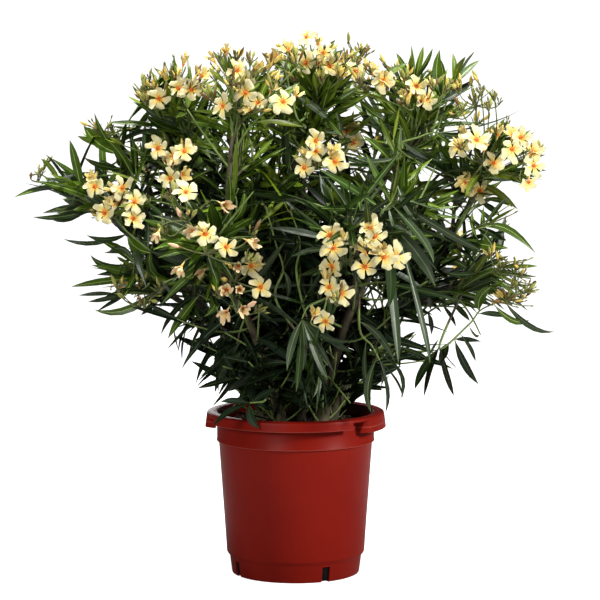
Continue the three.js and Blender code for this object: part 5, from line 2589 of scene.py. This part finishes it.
@dataclass(frozen=True)
class Softbox:
    """A square area light."""

    name: str
    place: tuple[float, float, float]
    aim: tuple[float, float, float]
    size: float
    power: float

    def build(self) -> None:
        """Makes the light."""
        data = bpy.data.lights.new(self.name, "AREA")
        data.shape = "SQUARE"
        data.size = self.size
        data.energy = self.power
        light = bpy.data.objects.new(self.name, data)
        light.location = self.place
        light.visible_camera = False
        light.rotation_euler = (Vector(self.aim) - Vector(self.place)).to_track_quat("-Z", "Y").to_euler()
        bpy.context.scene.collection.objects.link(light)


@dataclass(frozen=True)
class Studio:
    """The pale floor, the soft lights, the white surroundings and the camera."""

    floor_radius: float = 60.0
    floor_colour: Colour = (0.4, 0.4, 0.4)
    white: tuple[float, ...] = (1.0, 1.0, 1.0, 1.0)
    near_glow: float = 0.94
    far_glow: float = 1.1
    glow_from: float = 0.12
    glow_to: float = 0.3
    sky_light: float = 0.1
    boxes: tuple[Softbox, ...] = (
        Softbox("key_right", (3.35, -1.8, 2.1), (0.0, 0.0, 0.6), 0.7, 235.0),
        Softbox("fill_front", (-1.7, -3.3, 1.7), (0.0, 0.0, 0.6), 1.1, 78.0),
        Softbox("top_soft", (-0.4, -0.1, 3.3), (0.0, 0.0, 0.7), 1.2, 175.0),
        Softbox("rim_sheen", (-0.4, 3.0, 0.75), (0.0, 0.0, 0.3), 0.5, 5.0),
    )

    def build(self, sight: Sight) -> None:
        """Makes the floor, lights and camera.

        Args:
            sight: Where the plant is seen from.
        """
        self.build_floor()
        for box in self.boxes:
            box.build()
        self.build_world()
        data = bpy.data.cameras.new("camera")
        data.sensor_fit = "HORIZONTAL"
        data.sensor_width = 36.0
        data.lens = sight.lens
        data.clip_end = 200.0
        camera = bpy.data.objects.new("camera", data)
        camera.location = sight.place
        camera.rotation_euler = (math.radians(90.0 - sight.tilt_down), 0.0, 0.0)
        bpy.context.scene.collection.objects.link(camera)
        bpy.context.scene.camera = camera
        bpy.context.scene.view_settings.view_transform = "Standard"

    def build_floor(self) -> None:
        """Makes the round floor."""
        sides = 64
        angles = np.arange(sides) * 2 * math.pi / sides
        points = [(self.floor_radius * math.cos(a), self.floor_radius * math.sin(a), 0.0) for a in angles]
        mesh = bpy.data.meshes.new("floor")
        mesh.from_pydata(points, [], [list(range(sides))])
        draft = MaterialDraft("floor_white")
        draft.set(Base_Color=rgba(self.floor_colour), Roughness=0.95, Specular_IOR_Level=0.0)
        place = draft.node("ShaderNodeTexCoord").outputs["Object"]
        away = draft.node("ShaderNodeVectorMath", {0: place}, operation="LENGTH").outputs["Value"]
        limits = {"From Min": self.glow_from, "From Max": self.glow_to}
        limits |= {"Value": away, "To Min": self.near_glow, "To Max": self.far_glow}
        glow = draft.node("ShaderNodeMapRange", limits).outputs[0]
        seen = draft.node("ShaderNodeLightPath").outputs["Is Camera Ray"]
        light = draft.node("ShaderNodeMath", {0: glow, 1: seen}, operation="MULTIPLY").outputs[0]
        draft.set(Emission_Color=self.white, Emission_Strength=light)
        mesh.materials.append(draft.material)
        floor = bpy.data.objects.new("floor", mesh)
        bpy.context.scene.collection.objects.link(floor)
        floor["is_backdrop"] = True

    def build_world(self) -> None:
        """Makes the white surroundings, which light softly and look white behind the plant."""
        world = bpy.data.worlds.new("studio_white")
        world.use_nodes = True
        draft = NodeDraft(world.node_tree)
        light = world.node_tree.nodes["Background"]
        draft.give(light.inputs["Color"], self.white)
        draft.give(light.inputs["Strength"], self.sky_light)
        backdrop = draft.node("ShaderNodeBackground", {"Color": self.white, "Strength": 1.2})
        seen = draft.node("ShaderNodeLightPath").outputs["Is Camera Ray"]
        mix = draft.node("ShaderNodeMixShader", {0: seen, 1: light.outputs[0], 2: backdrop.outputs[0]})
        draft.give(world.node_tree.nodes["World Output"].inputs["Surface"], mix.outputs[0])
        bpy.context.scene.world = world


def main() -> None:
    """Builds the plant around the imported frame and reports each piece."""
    logging.basicConfig(level=logging.INFO, format="%(name)s %(message)s")
    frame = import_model()
    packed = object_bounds()
    Pot().build()
    PottingMix().build()
    build_limbs()
    crown = Crown(frame["nodes"], np.array(packed[0]), np.array(packed[1]))
    crown.grow()
    crown.build()
    Studio().build(crown.outline.sight)


if __name__ == "__main__":
    main()
